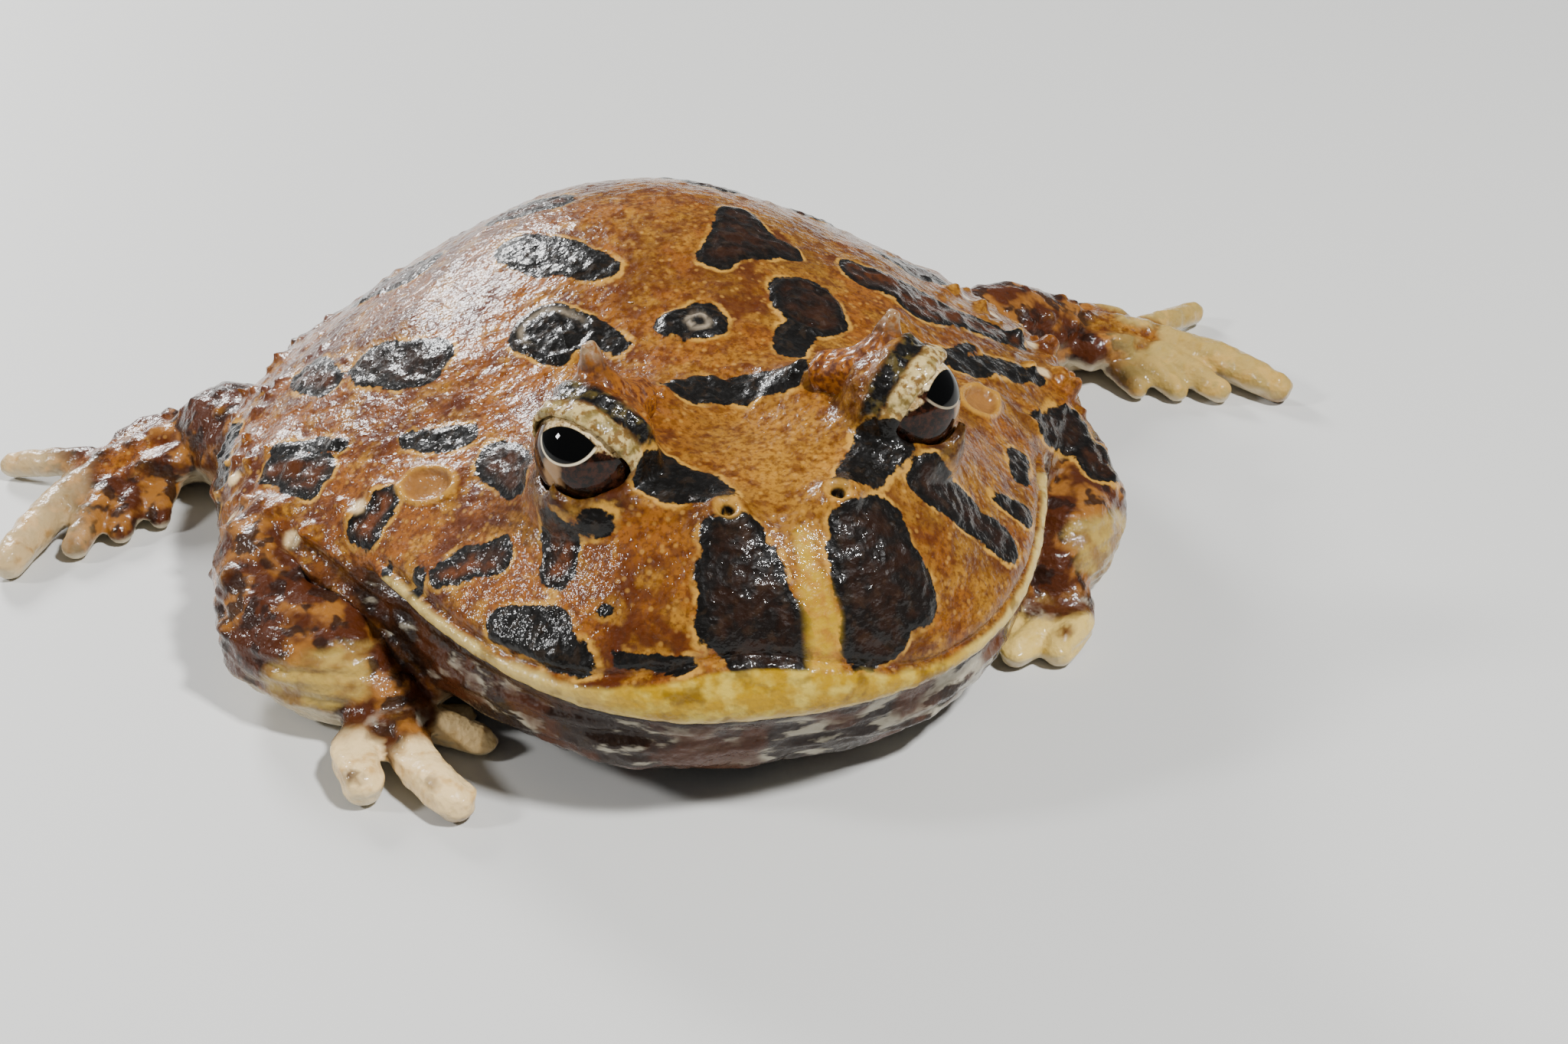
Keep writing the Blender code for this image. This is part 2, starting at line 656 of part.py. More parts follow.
def leg(side, label, swollen_body, skin, knee, heel):
    """Thigh, shank and foot. The knee and the heel are given for the frog's left."""
    hip = [Vector((16.0, 41.5, 11.0)), Vector((31.5, 36.5, 10.5)), Vector(knee)]
    thigh = rounded_tube("upper", [mirrored(p, side) for p in hip], (8.6, 9.2, 7.4), steps=4)
    thigh_clear = limb(f"thigh_{label}", [thigh], LEG_TRIANGLES, [swollen_body], skin)
    knee, heel = Vector(knee), Vector(heel)
    calf = knee.lerp(heel, 0.55) + Vector((0, 1.5, 0.6))
    line = [knee + Vector((1.0, 1.0, -1.0)), calf, heel + Vector((-2, 0, 0.4))]
    shank = rounded_tube("lower", [mirrored(p, side) for p in line], (7.0, 7.2, 6.2), flat=0.92, steps=4)
    shank_clear = limb(f"shank_{label}", [shank], LEG_TRIANGLES, [swollen_body, thigh_clear], skin)
    sole = placed(((0, 0, 5.2), (6.0, -1.0, 4.6), (12.5, -2.0, 3.6)), ON_FLOOR @ heel, side)
    pieces = [
        rounded_tube("sole", sole, (7.4, 7.6, 6.4), flat=0.62, steps=4),
        ellipsoid("web", placed([(12.5, -5.5, 2.4)], ON_FLOOR @ heel, side)[0], (8.2, 8.0, 1.9)),
    ]
    for *path, thick in TOES:
        path = placed(path, ON_FLOOR @ heel, side)
        pieces.append(rounded_tube("toe", path, (thick * 1.1, thick, thick * 0.78), spokes=14, steps=3))
    foot_clear = limb(f"foot_{label}", pieces, FOOT_TRIANGLES, [swollen_body, thigh_clear, shank_clear], skin)
    remove(thigh_clear, shank_clear, foot_clear)


def build():
    for obj in list(bpy.data.objects):
        bpy.data.objects.remove(obj)
    skin = material("skin", (0.42, 0.20, 0.06), 0.35)
    eye_gold = material("eye", (0.55, 0.42, 0.16), 0.08)
    body = flesh_body(skin)
    clear_body = swollen(body, "clear_body", GAP)
    swollen_body = swollen(body, "swollen_body", 2 * GAP)
    melt_together(swollen_body, FLESH_VOXEL, 1, CUTTER_TRIANGLES)
    open_sockets(body)
    split_body(body, skin)
    for side, label in ((1, "left"), (-1, "right")):
        eye(side, label, eye_gold)
        horn(side, label, clear_body, skin)
        arm(side, label, swollen_body, skin, ELBOWS[label], WRISTS[label], FINGERS[label])
        leg(side, label, swollen_body, skin, KNEES[label], HEELS[label])
    remove(clear_body, swollen_body, body)


build()
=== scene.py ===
"""Looks of an argentine horned frog at rest: one wet, blotched skin, two eyes and two horns.

The tables are in millimetres and the meshes in metres. The frog faces -Y, its left is +X and +Z is up.
"""

import math
from itertools import product

import bpy
import numpy as np
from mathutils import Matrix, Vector
from mathutils.bvhtree import BVHTree


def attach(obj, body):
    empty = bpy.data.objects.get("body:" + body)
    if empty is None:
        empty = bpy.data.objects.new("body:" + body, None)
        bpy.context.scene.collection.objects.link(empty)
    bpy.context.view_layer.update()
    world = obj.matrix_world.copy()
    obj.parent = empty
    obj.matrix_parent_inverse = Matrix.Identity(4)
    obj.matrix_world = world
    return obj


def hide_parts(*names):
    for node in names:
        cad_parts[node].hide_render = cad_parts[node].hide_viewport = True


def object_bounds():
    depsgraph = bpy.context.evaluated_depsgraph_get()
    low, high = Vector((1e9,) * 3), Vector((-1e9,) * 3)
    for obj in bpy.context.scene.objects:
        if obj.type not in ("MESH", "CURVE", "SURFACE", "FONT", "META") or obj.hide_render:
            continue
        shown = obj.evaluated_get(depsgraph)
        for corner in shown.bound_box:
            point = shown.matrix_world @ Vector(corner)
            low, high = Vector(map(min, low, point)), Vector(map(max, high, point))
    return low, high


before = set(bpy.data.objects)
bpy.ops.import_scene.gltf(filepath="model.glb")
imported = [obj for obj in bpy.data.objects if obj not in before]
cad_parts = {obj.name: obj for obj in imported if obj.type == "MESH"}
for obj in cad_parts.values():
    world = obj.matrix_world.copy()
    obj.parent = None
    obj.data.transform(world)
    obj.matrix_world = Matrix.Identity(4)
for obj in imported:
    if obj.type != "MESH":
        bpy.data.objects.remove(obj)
cad_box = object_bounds()

MM = 0.001
SIDES = {"left": 1, "right": -1}

# The head's own forms, given for the frog's left side. The lids open towards LIDS_FACE, LID_RIM degrees to
# each side, and the eye looks along GAZE. RIM_SHOWS is how clearly the pale rim of each pupil shows.
EYE_CENTRE = np.array((17.2, -35.2, 35.8))
EYE_RADIUS = 5.6
EYE_BULGE = 0.28
LIDS_FACE = np.array((0.74, -0.62, -0.20))
LID_RIM = 84
GAZE = np.array((0.56, -0.60, 0.63))
RIM_SHOWS = {"left": 0.3, "right": 1.0}
NOSTRIL = np.array((5.8, -46.4, 32.9))
EARDRUM = np.array((32.0, -19.9, 25.8))
EARDRUM_ALONG = np.array((0.69, 0.68, -0.2))
EARDRUM_SIZE = (3.5, 2.2)
CREST_KNOBS = ((9.2, -26.1, 38.2), (7.2, -27.0, 37.4), (11.6, -28.6, 38.8))
MOUTH_HEIGHT = 14.0
MOUTH_RISE = 3.4
HEAD_HALF_WIDTH = 36.6
CORNER_Y = -22.8

TRUNK = ("torso", "head", "lower_jaw")
LIMBS = tuple(
    f"{part}_{side}"
    for part in ("upper_arm", "forearm", "hand", "thigh", "shank", "foot")
    for side in SIDES
)

# The limbs as lines (x, y, z, radius), given for the frog's left side.
UPPER_ARMS = {
    "right": ((41.3, -0.3, 14.2, 7.4), (48.3, -7.8, 11.0, 7.0), (49.3, -16.3, 8.0, 6.4)),
    "left": ((37.6, -0.9, 14.0, 7.4), (44.6, -8.4, 10.8, 7.0), (45.6, -16.9, 7.8, 6.4)),
}
FOREARMS = {
    "right": ((49.3, -16.8, 7.2, 6.2), (45.3, -21.5, 7.0, 6.8), (40.5, -27.2, 5.3, 4.4)),
    "left": ((45.6, -17.4, 7.0, 6.2), (42.6, -21.7, 6.8, 6.8), (39.0, -27.0, 5.2, 4.4)),
}
FINGERS = {
    "right": (
        ((38.5, -28.5, 2.9, 1.3), (34.5, -29.0, 2.0, 1.35), (31.5, -29.2, 1.3, 1.3)),
        ((37.0, -30.5, 3.1, 1.7), (33.8, -32.2, 2.3, 1.85), (30.6, -34.6, 1.75, 1.75)),
        ((38.5, -33.0, 3.3, 2.2), (38.0, -38.6, 2.8, 2.35), (35.2, -45.0, 2.2, 2.2)),
        ((42.5, -31.5, 3.3, 2.3), (44.2, -34.8, 3.0, 2.45), (44.0, -39.4, 2.3, 2.3)),
    ),
    "left": (
        ((38.0, -28.5, 2.8, 1.3), (35.0, -28.6, 1.9, 1.35), (32.5, -28.4, 1.3, 1.3)),
        ((37.5, -30.0, 3.0, 1.5), (34.5, -31.2, 2.1, 1.65), (31.5, -32.4, 1.55, 1.55)),
        ((38.0, -31.5, 3.2, 1.8), (35.0, -34.2, 2.3, 1.95), (31.0, -36.4, 1.85, 1.85)),
        ((40.5, -31.0, 3.2, 1.9), (39.4, -34.4, 2.5, 2.05), (35.8, -37.6, 1.95, 1.95)),
    ),
}
THIGHS = {
    "right": ((16.0, 41.5, 11.0, 8.6), (31.5, 36.5, 10.5, 9.2), (45.0, 24.0, 8.0, 7.4)),
    "left": ((16.0, 41.5, 11.0, 8.6), (31.5, 36.5, 10.5, 9.2), (45.0, 25.0, 9.0, 7.4)),
}
SHANKS = {
    "right": ((46.0, 25.0, 7.0, 6.8), (49.4, 31.6, 6.9, 7.0), (51.0, 35.0, 5.3, 6.0)),
    "left": ((46.0, 26.0, 8.0, 6.8), (55.4, 29.3, 7.4, 7.0), (62.0, 30.0, 5.5, 6.0)),
}
HEELS = {"right": (53.0, 35.0), "left": (64.0, 30.0)}
TOES = (
    ((6.0, -6.5, 3.0, 1.7), (7.0, -9.4, 2.3, 1.6), (7.4, -11.8, 1.5, 1.3)),
    ((9.5, -7.0, 3.2, 1.9), (11.2, -10.8, 2.5, 1.8), (12.4, -13.8, 1.6, 1.5)),
    ((12.5, -6.5, 3.4, 2.1), (15.6, -11.4, 2.7, 2.0), (17.8, -15.8, 1.8, 1.7)),
    ((15.0, -4.0, 3.6, 2.6), (20.5, -9.5, 3.1, 2.5), (25.7, -17.8, 2.1, 2.1)),
    ((13.5, 1.0, 3.6, 2.0), (18.5, 3.6, 3.1, 1.9), (24.8, 7.1, 1.9, 1.7)),
)
# The foot's arch and the pad at the roots of its toes, from the heel as the toes are.
FOOT_FORMS = (
    ((0, 0, 4.6, 4.4), (6, -1, 4.2, 4.1), (12, -2, 3.6, 3.4)),
    ((10, -6, 2.2, 1.9), (16, -8, 2.2, 1.9), (17, -2, 2.6, 2.2)),
)
PALM = np.array((39.8, -29.0, 3.4))
PALM_SHIFT = {"right": (0, 0, 0), "left": (-1.6, 0.2, -0.1)}

# Each horn is a spike, an edge that runs in to the crest, and a knob at its outer foot. It is drawn in from
# a ball round it, with its middle at HORN_MIDDLE.
HORNS = {
    "left": (
        (
            (15.5, -32.7, 37.2, 4.0),
            (15.7, -32.1, 40.2, 2.3),
            (16.2, -31.6, 42.5, 1.35),
            (16.7, -31.4, 44.2, 0.7),
        ),
        ((10.8, -28.8, 37.2, 2.4), (13.0, -30.8, 37.5, 3.0), (14.8, -31.8, 38.8, 2.6)),
        ((16.2, -33.4, 38.6, 2.4), (17.4, -33.6, 39.8, 1.9)),
    ),
    "right": (
        (
            (15.2, -32.7, 37.2, 4.0),
            (15.2, -32.2, 40.4, 2.5),
            (15.6, -31.7, 43.4, 1.45),
            (15.8, -31.4, 45.4, 0.7),
        ),
        ((10.8, -28.8, 37.2, 2.4), (13.0, -30.8, 37.8, 3.0), (14.8, -31.8, 39.4, 2.6)),
        ((16.0, -32.6, 39.0, 2.2), (17.2, -32.3, 41.2, 1.1)),
    ),
}
HORN_MIDDLE = (13.8, -31.0, 40.0)
HORN_REACH = 7.0

# How far the flesh is swollen to close its gaps, and how finely the skin over it is made.
SWELL = 0.3
SKIN_VOXEL = 0.42
SKIN_TRIANGLES = 192000

# Dark blotches as chains of round spots (x, y, z, radius). The first number is how brown the middle is.
BLOTCHES = {
    "snout right": (
        0.1,
        ((-6.2, -49.2, 30.7, 3.4), (-4.8, -54.0, 25.6, 4.3), (-3.2, -56.4, 22.0, 3.9)),
    ),
    "snout right side": (
        0.1,
        ((-7.6, -50.6, 28.6, 3.0), (-7.4, -53.6, 25.0, 3.8), (-5.6, -56.2, 21.6, 3.2)),
    ),
    "snout left": (0.1, ((7.2, -49.6, 30.2, 3.4), (7.2, -53.0, 26.0, 4.2), (7.2, -56.0, 22.0, 4.0))),
    "snout left side": (0.1, ((9.4, -48.6, 30.2, 2.9), (11.0, -53.0, 23.6, 3.6))),
    "inner eye right": (0.0, ((-12.0, -38.6, 34.4, 2.8), (-8.0, -41.8, 33.5, 2.8), (-5.4, -44.6, 33.1, 1.4))),
    "inner eye left": (0.0, ((12.6, -40.3, 33.9, 3.0), (9.2, -43.4, 32.9, 2.4), (5.8, -46.4, 33.0, 0.8))),
    "cheek low right": (
        0.0,
        ((-28.2, -41.3, 20.4, 1.9), (-24.4, -45.3, 21.2, 2.9), (-21.4, -49.0, 19.6, 1.5)),
    ),
    "cheek dash right": (
        0.3,
        ((-18.6, -50.6, 20.6, 0.8), (-15.0, -52.9, 20.7, 1.2), (-11.8, -54.9, 21.0, 0.8)),
    ),
    "cheek mid right": (0.8, ((-20.6, -38.2, 29.8, 2.5), (-22.3, -41.0, 25.9, 2.1))),
    "cheek mid right top": (0.6, ((-20.4, -38.4, 30.4, 1.8), (-17.4, -41.4, 31.0, 1.6))),
    "cheek back right": (0.8, ((-32.6, -31.6, 21.8, 1.7), (-27.3, -34.8, 24.8, 2.3))),
    "cheek dot right": (0.0, ((-19.0, -47.9, 24.4, 0.8),)),
    "corner dots right": (0.0, ((-37.6, -25.2, 19.4, 0.8), (-37.4, -26.0, 18.8, 0.6))),
    "corner dash right": (0.0, ((-35.2, -29.5, 20.9, 0.8), (-35.4, -30.2, 19.6, 0.9))),
    "temple right": (0.4, ((-24.9, -22.3, 29.3, 2.4), (-23.4, -28.6, 30.4, 2.3))),
    "over drum right": (0.0, ((-32.5, -11.9, 26.5, 1.4), (-26.8, -16.4, 28.9, 1.7))),
    "behind mouth right": (0.8, ((-36.0, -17.8, 23.4, 2.1), (-38.8, -18.8, 20.8, 2.3))),
    "cheek left": (0.1, ((16.6, -42.4, 30.9, 2.2), (21.6, -42.6, 26.0, 2.6), (25.4, -43.6, 22.0, 2.5))),
    "cheek back left": (0.2, ((27.5, -37.5, 24.5, 1.2), (30.2, -37.5, 21.6, 1.6))),
    "behind mouth left": (0.1, ((32.6, -31.0, 22.6, 1.8), (33.6, -27.5, 22.0, 1.4))),
    "between eyes": (0.0, ((-4.4, -24.6, 35.8, 2.2), (2.0, -25.2, 35.4, 2.7), (7.4, -26.6, 36.8, 1.6))),
    "ring mid": (0.0, ((-1.2, -12.8, 37.3, 2.8), (1.0, -12.8, 37.3, 2.8))),
    "ring right": (0.0, ((-15.6, -6.8, 35.8, 4.2), (-14.0, -8.8, 35.8, 4.2))),
    "ring right tail": (0.0, ((-11.4, -8.6, 36.4, 2.2), (-8.8, -13.6, 36.4, 1.3))),
    "ring left": (0.15, ((14.6, -8.6, 35.6, 4.5), (14.2, -10.6, 35.4, 4.3))),
    "ring left tail": (0.0, ((11.6, -14.6, 35.6, 1.9), (9.6, -18.4, 35.2, 1.4))),
    "back right": (0.0, ((-15.2, 10.2, 38.0, 2.9), (-11.2, 4.2, 39.0, 3.4), (-7.4, -1.0, 39.3, 1.9))),
    "back left": (0.15, ((5.2, -1.8, 39.4, 1.8), (10.8, 2.8, 39.2, 4.2), (11.6, 8.6, 39.6, 2.6))),
    "back left corner": (0.15, ((10.8, 2.8, 39.2, 3.2), (15.2, 1.8, 37.4, 1.9))),
    "rear right": (0.5, ((-13.6, 23.8, 36.2, 3.2), (-8.0, 18.6, 39.4, 2.0))),
    "rear left": (0.5, ((12.4, 22.4, 37.0, 3.6), (9.0, 27.6, 36.4, 2.4))),
    "flank high right": (0.1, ((-34.4, 4.8, 28.4, 3.2), (-28.6, -2.2, 31.2, 3.3))),
    "flank far right": (0.4, ((-40.6, 13.2, 23.8, 2.8), (-38.8, 7.8, 25.5, 2.2))),
    "flank bar right": (0.0, ((-46.4, 1.4, 21.0, 0.8), (-43.0, -1.4, 22.7, 1.0), (-39.2, -5.4, 24.5, 0.8))),
    "flank low right": (0.5, ((-47.0, -1.4, 20.0, 2.2), (-42.8, -6.8, 21.6, 3.0))),
    "flank band left": (
        0.5,
        ((24.4, 0.6, 33.2, 3.0), (30.6, -1.2, 30.0, 3.9), (38.4, 0.4, 25.4, 3.0), (44.4, 1.2, 21.6, 1.8)),
    ),
    "flank high left": (0.3, ((33.0, 11.5, 28.6, 3.4), (38.6, 15.5, 24.0, 2.6))),
    "temple bar left": (0.0, ((20.5, -27.5, 31.8, 0.7), (28.0, -14.0, 28.6, 0.9), (35.6, -7.8, 26.0, 0.9))),
    "drum bar left": (0.0, ((31.8, -13.2, 26.9, 1.3), (38.6, -9.6, 23.6, 1.8), (44.2, -7.8, 20.8, 1.4))),
    "temple left": (0.1, ((24.2, -25.6, 28.6, 1.6), (22.4, -31.0, 29.8, 1.6))),
    "shoulder left": (0.1, ((40.8, -17.0, 19.0, 2.2), (46.8, -12.6, 15.4, 3.2))),
    "upper arm left": (0.2, ((48.6, -17.4, 13.6, 3.4), (49.4, -14.0, 10.0, 2.6))),
    "side low left": (0.3, ((51.8, 7.0, 13.0, 3.2), (48.8, 15.0, 15.0, 2.6))),
    "side low right": (0.3, ((-51.8, 6.0, 13.0, 2.8), (-49.4, 14.6, 15.0, 2.6))),
    "loin left": (0.5, ((25.4, 24.6, 32.0, 3.6), (30.6, 30.0, 26.0, 2.8))),
    "loin right": (0.5, ((-26.0, 22.6, 32.4, 3.4), (-31.4, 27.6, 27.0, 3.0))),
    "rump": (0.4, ((-3.6, 37.6, 31.0, 2.6), (3.8, 38.8, 30.2, 3.0))),
    "rump left": (0.3, ((15.4, 39.6, 25.6, 3.2), (19.0, 43.4, 18.6, 2.4))),
    "rump right": (0.3, ((-16.2, 38.8, 26.2, 3.0), (-20.6, 43.0, 18.0, 2.6))),
    "rump low": (0.2, ((-4.6, 49.0, 19.0, 2.4), (5.4, 49.4, 18.0, 2.2))),
}

# Folds of loose skin as lines (x, y, z) with the height and the width of each.
FOLDS = (
    (0.8, 0.9, ((-53.9, -5.0, 15.6), (-50.1, -11.9, 16.4), (-44.2, -16.7, 14.4), (-40.6, -21.0, 12.8))),
    (-0.7, 0.7, ((-53.5, -6.0, 13.6), (-49.2, -12.9, 14.2), (-44.6, -17.2, 12.4))),
    (0.55, 0.7, ((-46.0, -12.0, 18.6), (-42.0, -17.6, 17.0), (-38.2, -23.6, 14.6), (-36.4, -28.0, 12.4))),
    (-0.5, 0.6, ((-45.6, -12.8, 17.4), (-41.4, -18.6, 15.6), (-37.8, -24.6, 13.4))),
    (0.5, 0.7, ((47.0, -10.0, 18.0), (42.6, -16.6, 16.6), (38.4, -23.6, 14.4), (36.6, -28.0, 12.2))),
    (-0.5, 0.6, ((46.6, -11.2, 16.6), (42.0, -18.0, 15.2), (38.0, -24.6, 13.0))),
    (0.5, 0.8, ((22.4, -30.4, 31.4), (29.0, -24.4, 29.4), (36.8, -17.4, 24.0), (40.4, -18.4, 19.4))),
    (0.5, 0.8, ((-22.4, -30.4, 31.4), (-29.0, -24.4, 29.4), (-36.8, -15.8, 24.0), (-40.4, -16.4, 20.4))),
    (0.45, 1.0, ((-20.0, -34.0, 33.0), (-17.0, -39.6, 33.2), (-12.4, -43.6, 32.6), (-7.6, -46.0, 32.8))),
    (0.45, 1.0, ((20.0, -34.0, 33.0), (17.0, -39.6, 33.2), (12.4, -43.6, 32.6), (7.6, -46.0, 32.8))),
)

# Tall pointed warts that show against the flank: place, height and width.
TALL_WARTS = (
    (50.3, 3.5, 18.3, 2.2, 1.3),
    (49.6, -6.8, 18.2, 2.2, 1.1),
    (45.6, 2.5, 20.9, 1.7, 1.0),
    (40.7, 11.7, 24.0, 1.2, 1.0),
    (43.7, 9.6, 22.1, 1.4, 1.0),
    (44.2, -5.9, 21.2, 1.1, 0.9),
    (50.8, -2.5, 16.8, 1.4, 1.0),
    (-44.6, -13.6, 17.9, 1.6, 1.1),
    (-50.4, -3.4, 17.3, 1.2, 1.0),
    (-49.3, 3.3, 18.4, 1.2, 1.0),
    (-37.2, -15.4, 23.4, 0.6, 1.2),
)


def unit(vector):
    return vector / np.linalg.norm(vector)


def on_side(vector, side):
    return np.asarray(vector, dtype=float) * (side, 1, 1)


def smooth_step(low, high, value):
    """0 at low, 1 at high and smooth between, the other way round where low is more than high."""
    share = np.clip((value - low) / (high - low), 0, 1)
    return share * share * (3 - 2 * share)


def bell(distance, width):
    """1 where the distance is 0, falling softly to 0 over the width."""
    return np.exp(-((distance / width) ** 2))


def clouds(points, size, seed):
    """A smooth random field from -1 to 1 with lumps of about the size."""
    place = points / size + seed * 17.31
    cell = np.floor(place).astype(np.int64)
    part = place - cell
    part = part * part * (3 - 2 * part)
    total = np.zeros(len(points))
    for corner in product((0, 1), repeat=3):
        x, y, z = (cell + corner).T
        mixed = (x * 73856093) ^ (y * 19349663) ^ (z * 83492791)
        mixed = (mixed ^ (mixed >> 13)) * 1274126177
        value = ((mixed ^ (mixed >> 16)) & 65535) / 32767.5 - 1
        total += value * np.prod(np.where(corner, part, 1 - part), axis=1)
    return total


def chain_distance(points, chain):
    """Distance to a chain of round spots (x, y, z, radius), less than 0 inside it."""
    spots = np.array(chain, dtype=float)
    if len(spots) == 1:
        spots = np.repeat(spots, 2, axis=0)
    best = np.full(len(points), 1e3)
    for start, end in zip(spots, spots[1:]):
        line = end[:3] - start[:3]
        share = np.clip((points - start[:3]) @ line / max(line @ line, 1e-6), 0, 1)
        gap = np.linalg.norm(points - start[:3] - share[:, None] * line, axis=1)
        best = np.minimum(best, gap - start[3] - (end[3] - start[3]) * share)
    return best


def line_distance(points, line):
    return chain_distance(points, [(*place, 0.0) for place in line])


def bent(knots):
    """A smooth chain of spots through a few knots."""
    steps = 5
    knots = np.array(knots, dtype=float)
    slopes = np.gradient(knots, axis=0)
    spots = [knots[0]]
    for i in range(len(knots) - 1):
        for t in np.linspace(0, 1, steps + 1)[1:]:
            ease = t * t * (3 - 2 * t)
            bend = slopes[i] * (t**3 - 2 * t**2 + t) + slopes[i + 1] * (t**3 - t**2)
            spots.append(knots[i] + ease * (knots[i + 1] - knots[i]) + bend)
    return np.array(spots)


def other_side(chain, side):
    """A chain that is given for the frog's left, on the side that is asked for."""
    return np.array(chain, dtype=float) * (side, 1, 1, 1)


def fused_distance(points, chains, blend):
    """Distance to several chains melted together where they come within the blend of each other."""
    total = chain_distance(points, chains[0])
    for chain in chains[1:]:
        other = chain_distance(points, chain)
        share = np.clip(0.5 + 0.5 * (other - total) / blend, 0, 1)
        total = other + (total - other) * share - blend * share * (1 - share)
    return total


def drawn_onto(points, distance, rounds):
    """Moves points onto a shape. distance gives how far outside it a point is, in mm."""
    step, most = 0.05, 1.6
    for _ in range(rounds):
        far = distance(points)
        slope = np.stack([distance(points + step * axis) - far for axis in np.eye(3)], axis=1) / step
        slope /= np.maximum(np.linalg.norm(slope, axis=1), 0.3)[:, None]
        points = points - slope * np.clip(far, -most, most)[:, None]
    return points


def select_only(obj):
    bpy.ops.object.select_all(action="DESELECT")
    obj.select_set(True)
    bpy.context.view_layer.objects.active = obj


def apply_modifier(obj, kind, **settings):
    made = obj.modifiers.new(kind.lower(), kind)
    for key, value in settings.items():
        setattr(made, key, value)
    select_only(obj)
    bpy.ops.object.modifier_apply(modifier=made.name)


def read_points(obj):
    flat = np.empty(len(obj.data.vertices) * 3, dtype=np.float32)
    obj.data.vertices.foreach_get("co", flat)
    return flat.reshape(-1, 3).astype(float) / MM


def write_points(obj, points):
    obj.data.vertices.foreach_set("co", (points * MM).astype(np.float32).ravel())
    obj.data.update()


def read_normals(obj):
    flat = np.empty(len(obj.data.vertices) * 3, dtype=np.float32)
    obj.data.vertex_normals.foreach_get("vector", flat)
    return flat.reshape(-1, 3).astype(float)


def read_edges(obj):
    flat = np.empty(len(obj.data.edges) * 2, dtype=np.int32)
    obj.data.edges.foreach_get("vertices", flat)
    return flat.reshape(-1, 2)


def neighbour_mean(values, edges):
    """Each row's mean over the vertices that share an edge with it."""
    first, second = edges.T
    count = np.bincount(edges.ravel(), minlength=len(values))
    totals = np.empty(values.shape)
    for k, column in enumerate(values.T):
        totals[:, k] = np.bincount(first, column[second], len(values))
        totals[:, k] += np.bincount(second, column[first], len(values))
    return totals / np.maximum(count, 1)[:, None]


def relaxed(points, edges, rounds, amount):
    """Smooths the points. amount is from 0 to 1 for each of them."""
    for _ in range(rounds):
        points = points + 0.5 * amount[:, None] * (neighbour_mean(points, edges) - points)
    return points


def flesh_copy():
    """One closed skin over copies of the flesh nodes, swollen a little so that the thin gaps close."""
    bpy.ops.object.select_all(action="DESELECT")
    copies = []
    for name in TRUNK + LIMBS:
        copy = bpy.data.objects.new("flesh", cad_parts[name].data.copy())
        bpy.context.scene.collection.objects.link(copy)
        copy.select_set(True)
        copies.append(copy)
    bpy.context.view_layer.objects.active = copies[0]
    bpy.ops.object.join()
    skin = bpy.context.object
    skin.name = "skin"
    bpy.ops.object.mode_set(mode="EDIT")
    bpy.ops.mesh.select_all(action="SELECT")
    bpy.ops.mesh.remove_doubles(threshold=0.002 * MM)
    bpy.ops.object.mode_set(mode="OBJECT")
    apply_modifier(skin, "DISPLACE", mid_level=0.0, strength=SWELL * MM)
    apply_modifier(skin, "REMESH", mode="VOXEL", voxel_size=SKIN_VOXEL * MM)
    skin.data.materials.clear()
    return skin


def mouth_gap(points):
    """Height above the mouth's line."""
    reach = np.minimum(np.abs(points[:, 0]), HEAD_HALF_WIDTH) / HEAD_HALF_WIDTH
    return points[:, 2] - MOUTH_HEIGHT - MOUTH_RISE * reach**2


def eye_distance(points):
    """Distance to the nearer eye's centre."""
    mirrored = np.abs(points[:, :1])
    return np.linalg.norm(np.hstack((mirrored, points[:, 1:])) - EYE_CENTRE, axis=1)


def limb_share(points):
    """1 on the arms and legs, 0 on the trunk."""
    reach = 0.9
    corners, faces = [], []
    for name in LIMBS:
        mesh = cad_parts[name].data
        start = len(corners)
        corners += [v.co / MM for v in mesh.vertices]
        faces += [[start + i for i in face.vertices] for face in mesh.polygons]
    tree = BVHTree.FromPolygons(corners, faces)
    near = [tree.find_nearest(Vector(p), reach)[0] is not None for p in points]
    return np.array(near, dtype=float)


def lid_angles(points, side):
    """Place round an eye: distance from its middle, angle from where the lids face, 1 at the top and -1 at
    the bottom, where the lids face, and the direction sideways from there."""
    faces = unit(on_side(LIDS_FACE, side))
    up = unit(np.array((0, 0, 1.0)) - faces[2] * faces)
    out = points - on_side(EYE_CENTRE, side)
    reach = np.maximum(np.linalg.norm(out, axis=1), 1e-6)
    along = out @ faces
    flat = out - along[:, None] * faces
    wide = np.maximum(np.linalg.norm(flat, axis=1), 1e-6)
    return reach, np.degrees(np.arctan2(wide, along)), flat @ up / wide, faces, flat / wide[:, None]


def lid_turn(top):
    """How far each part of the lids is drawn round the eye, in degrees."""
    return np.where(top > 0, 3 + 13 * top, 3 + 38 * -top)


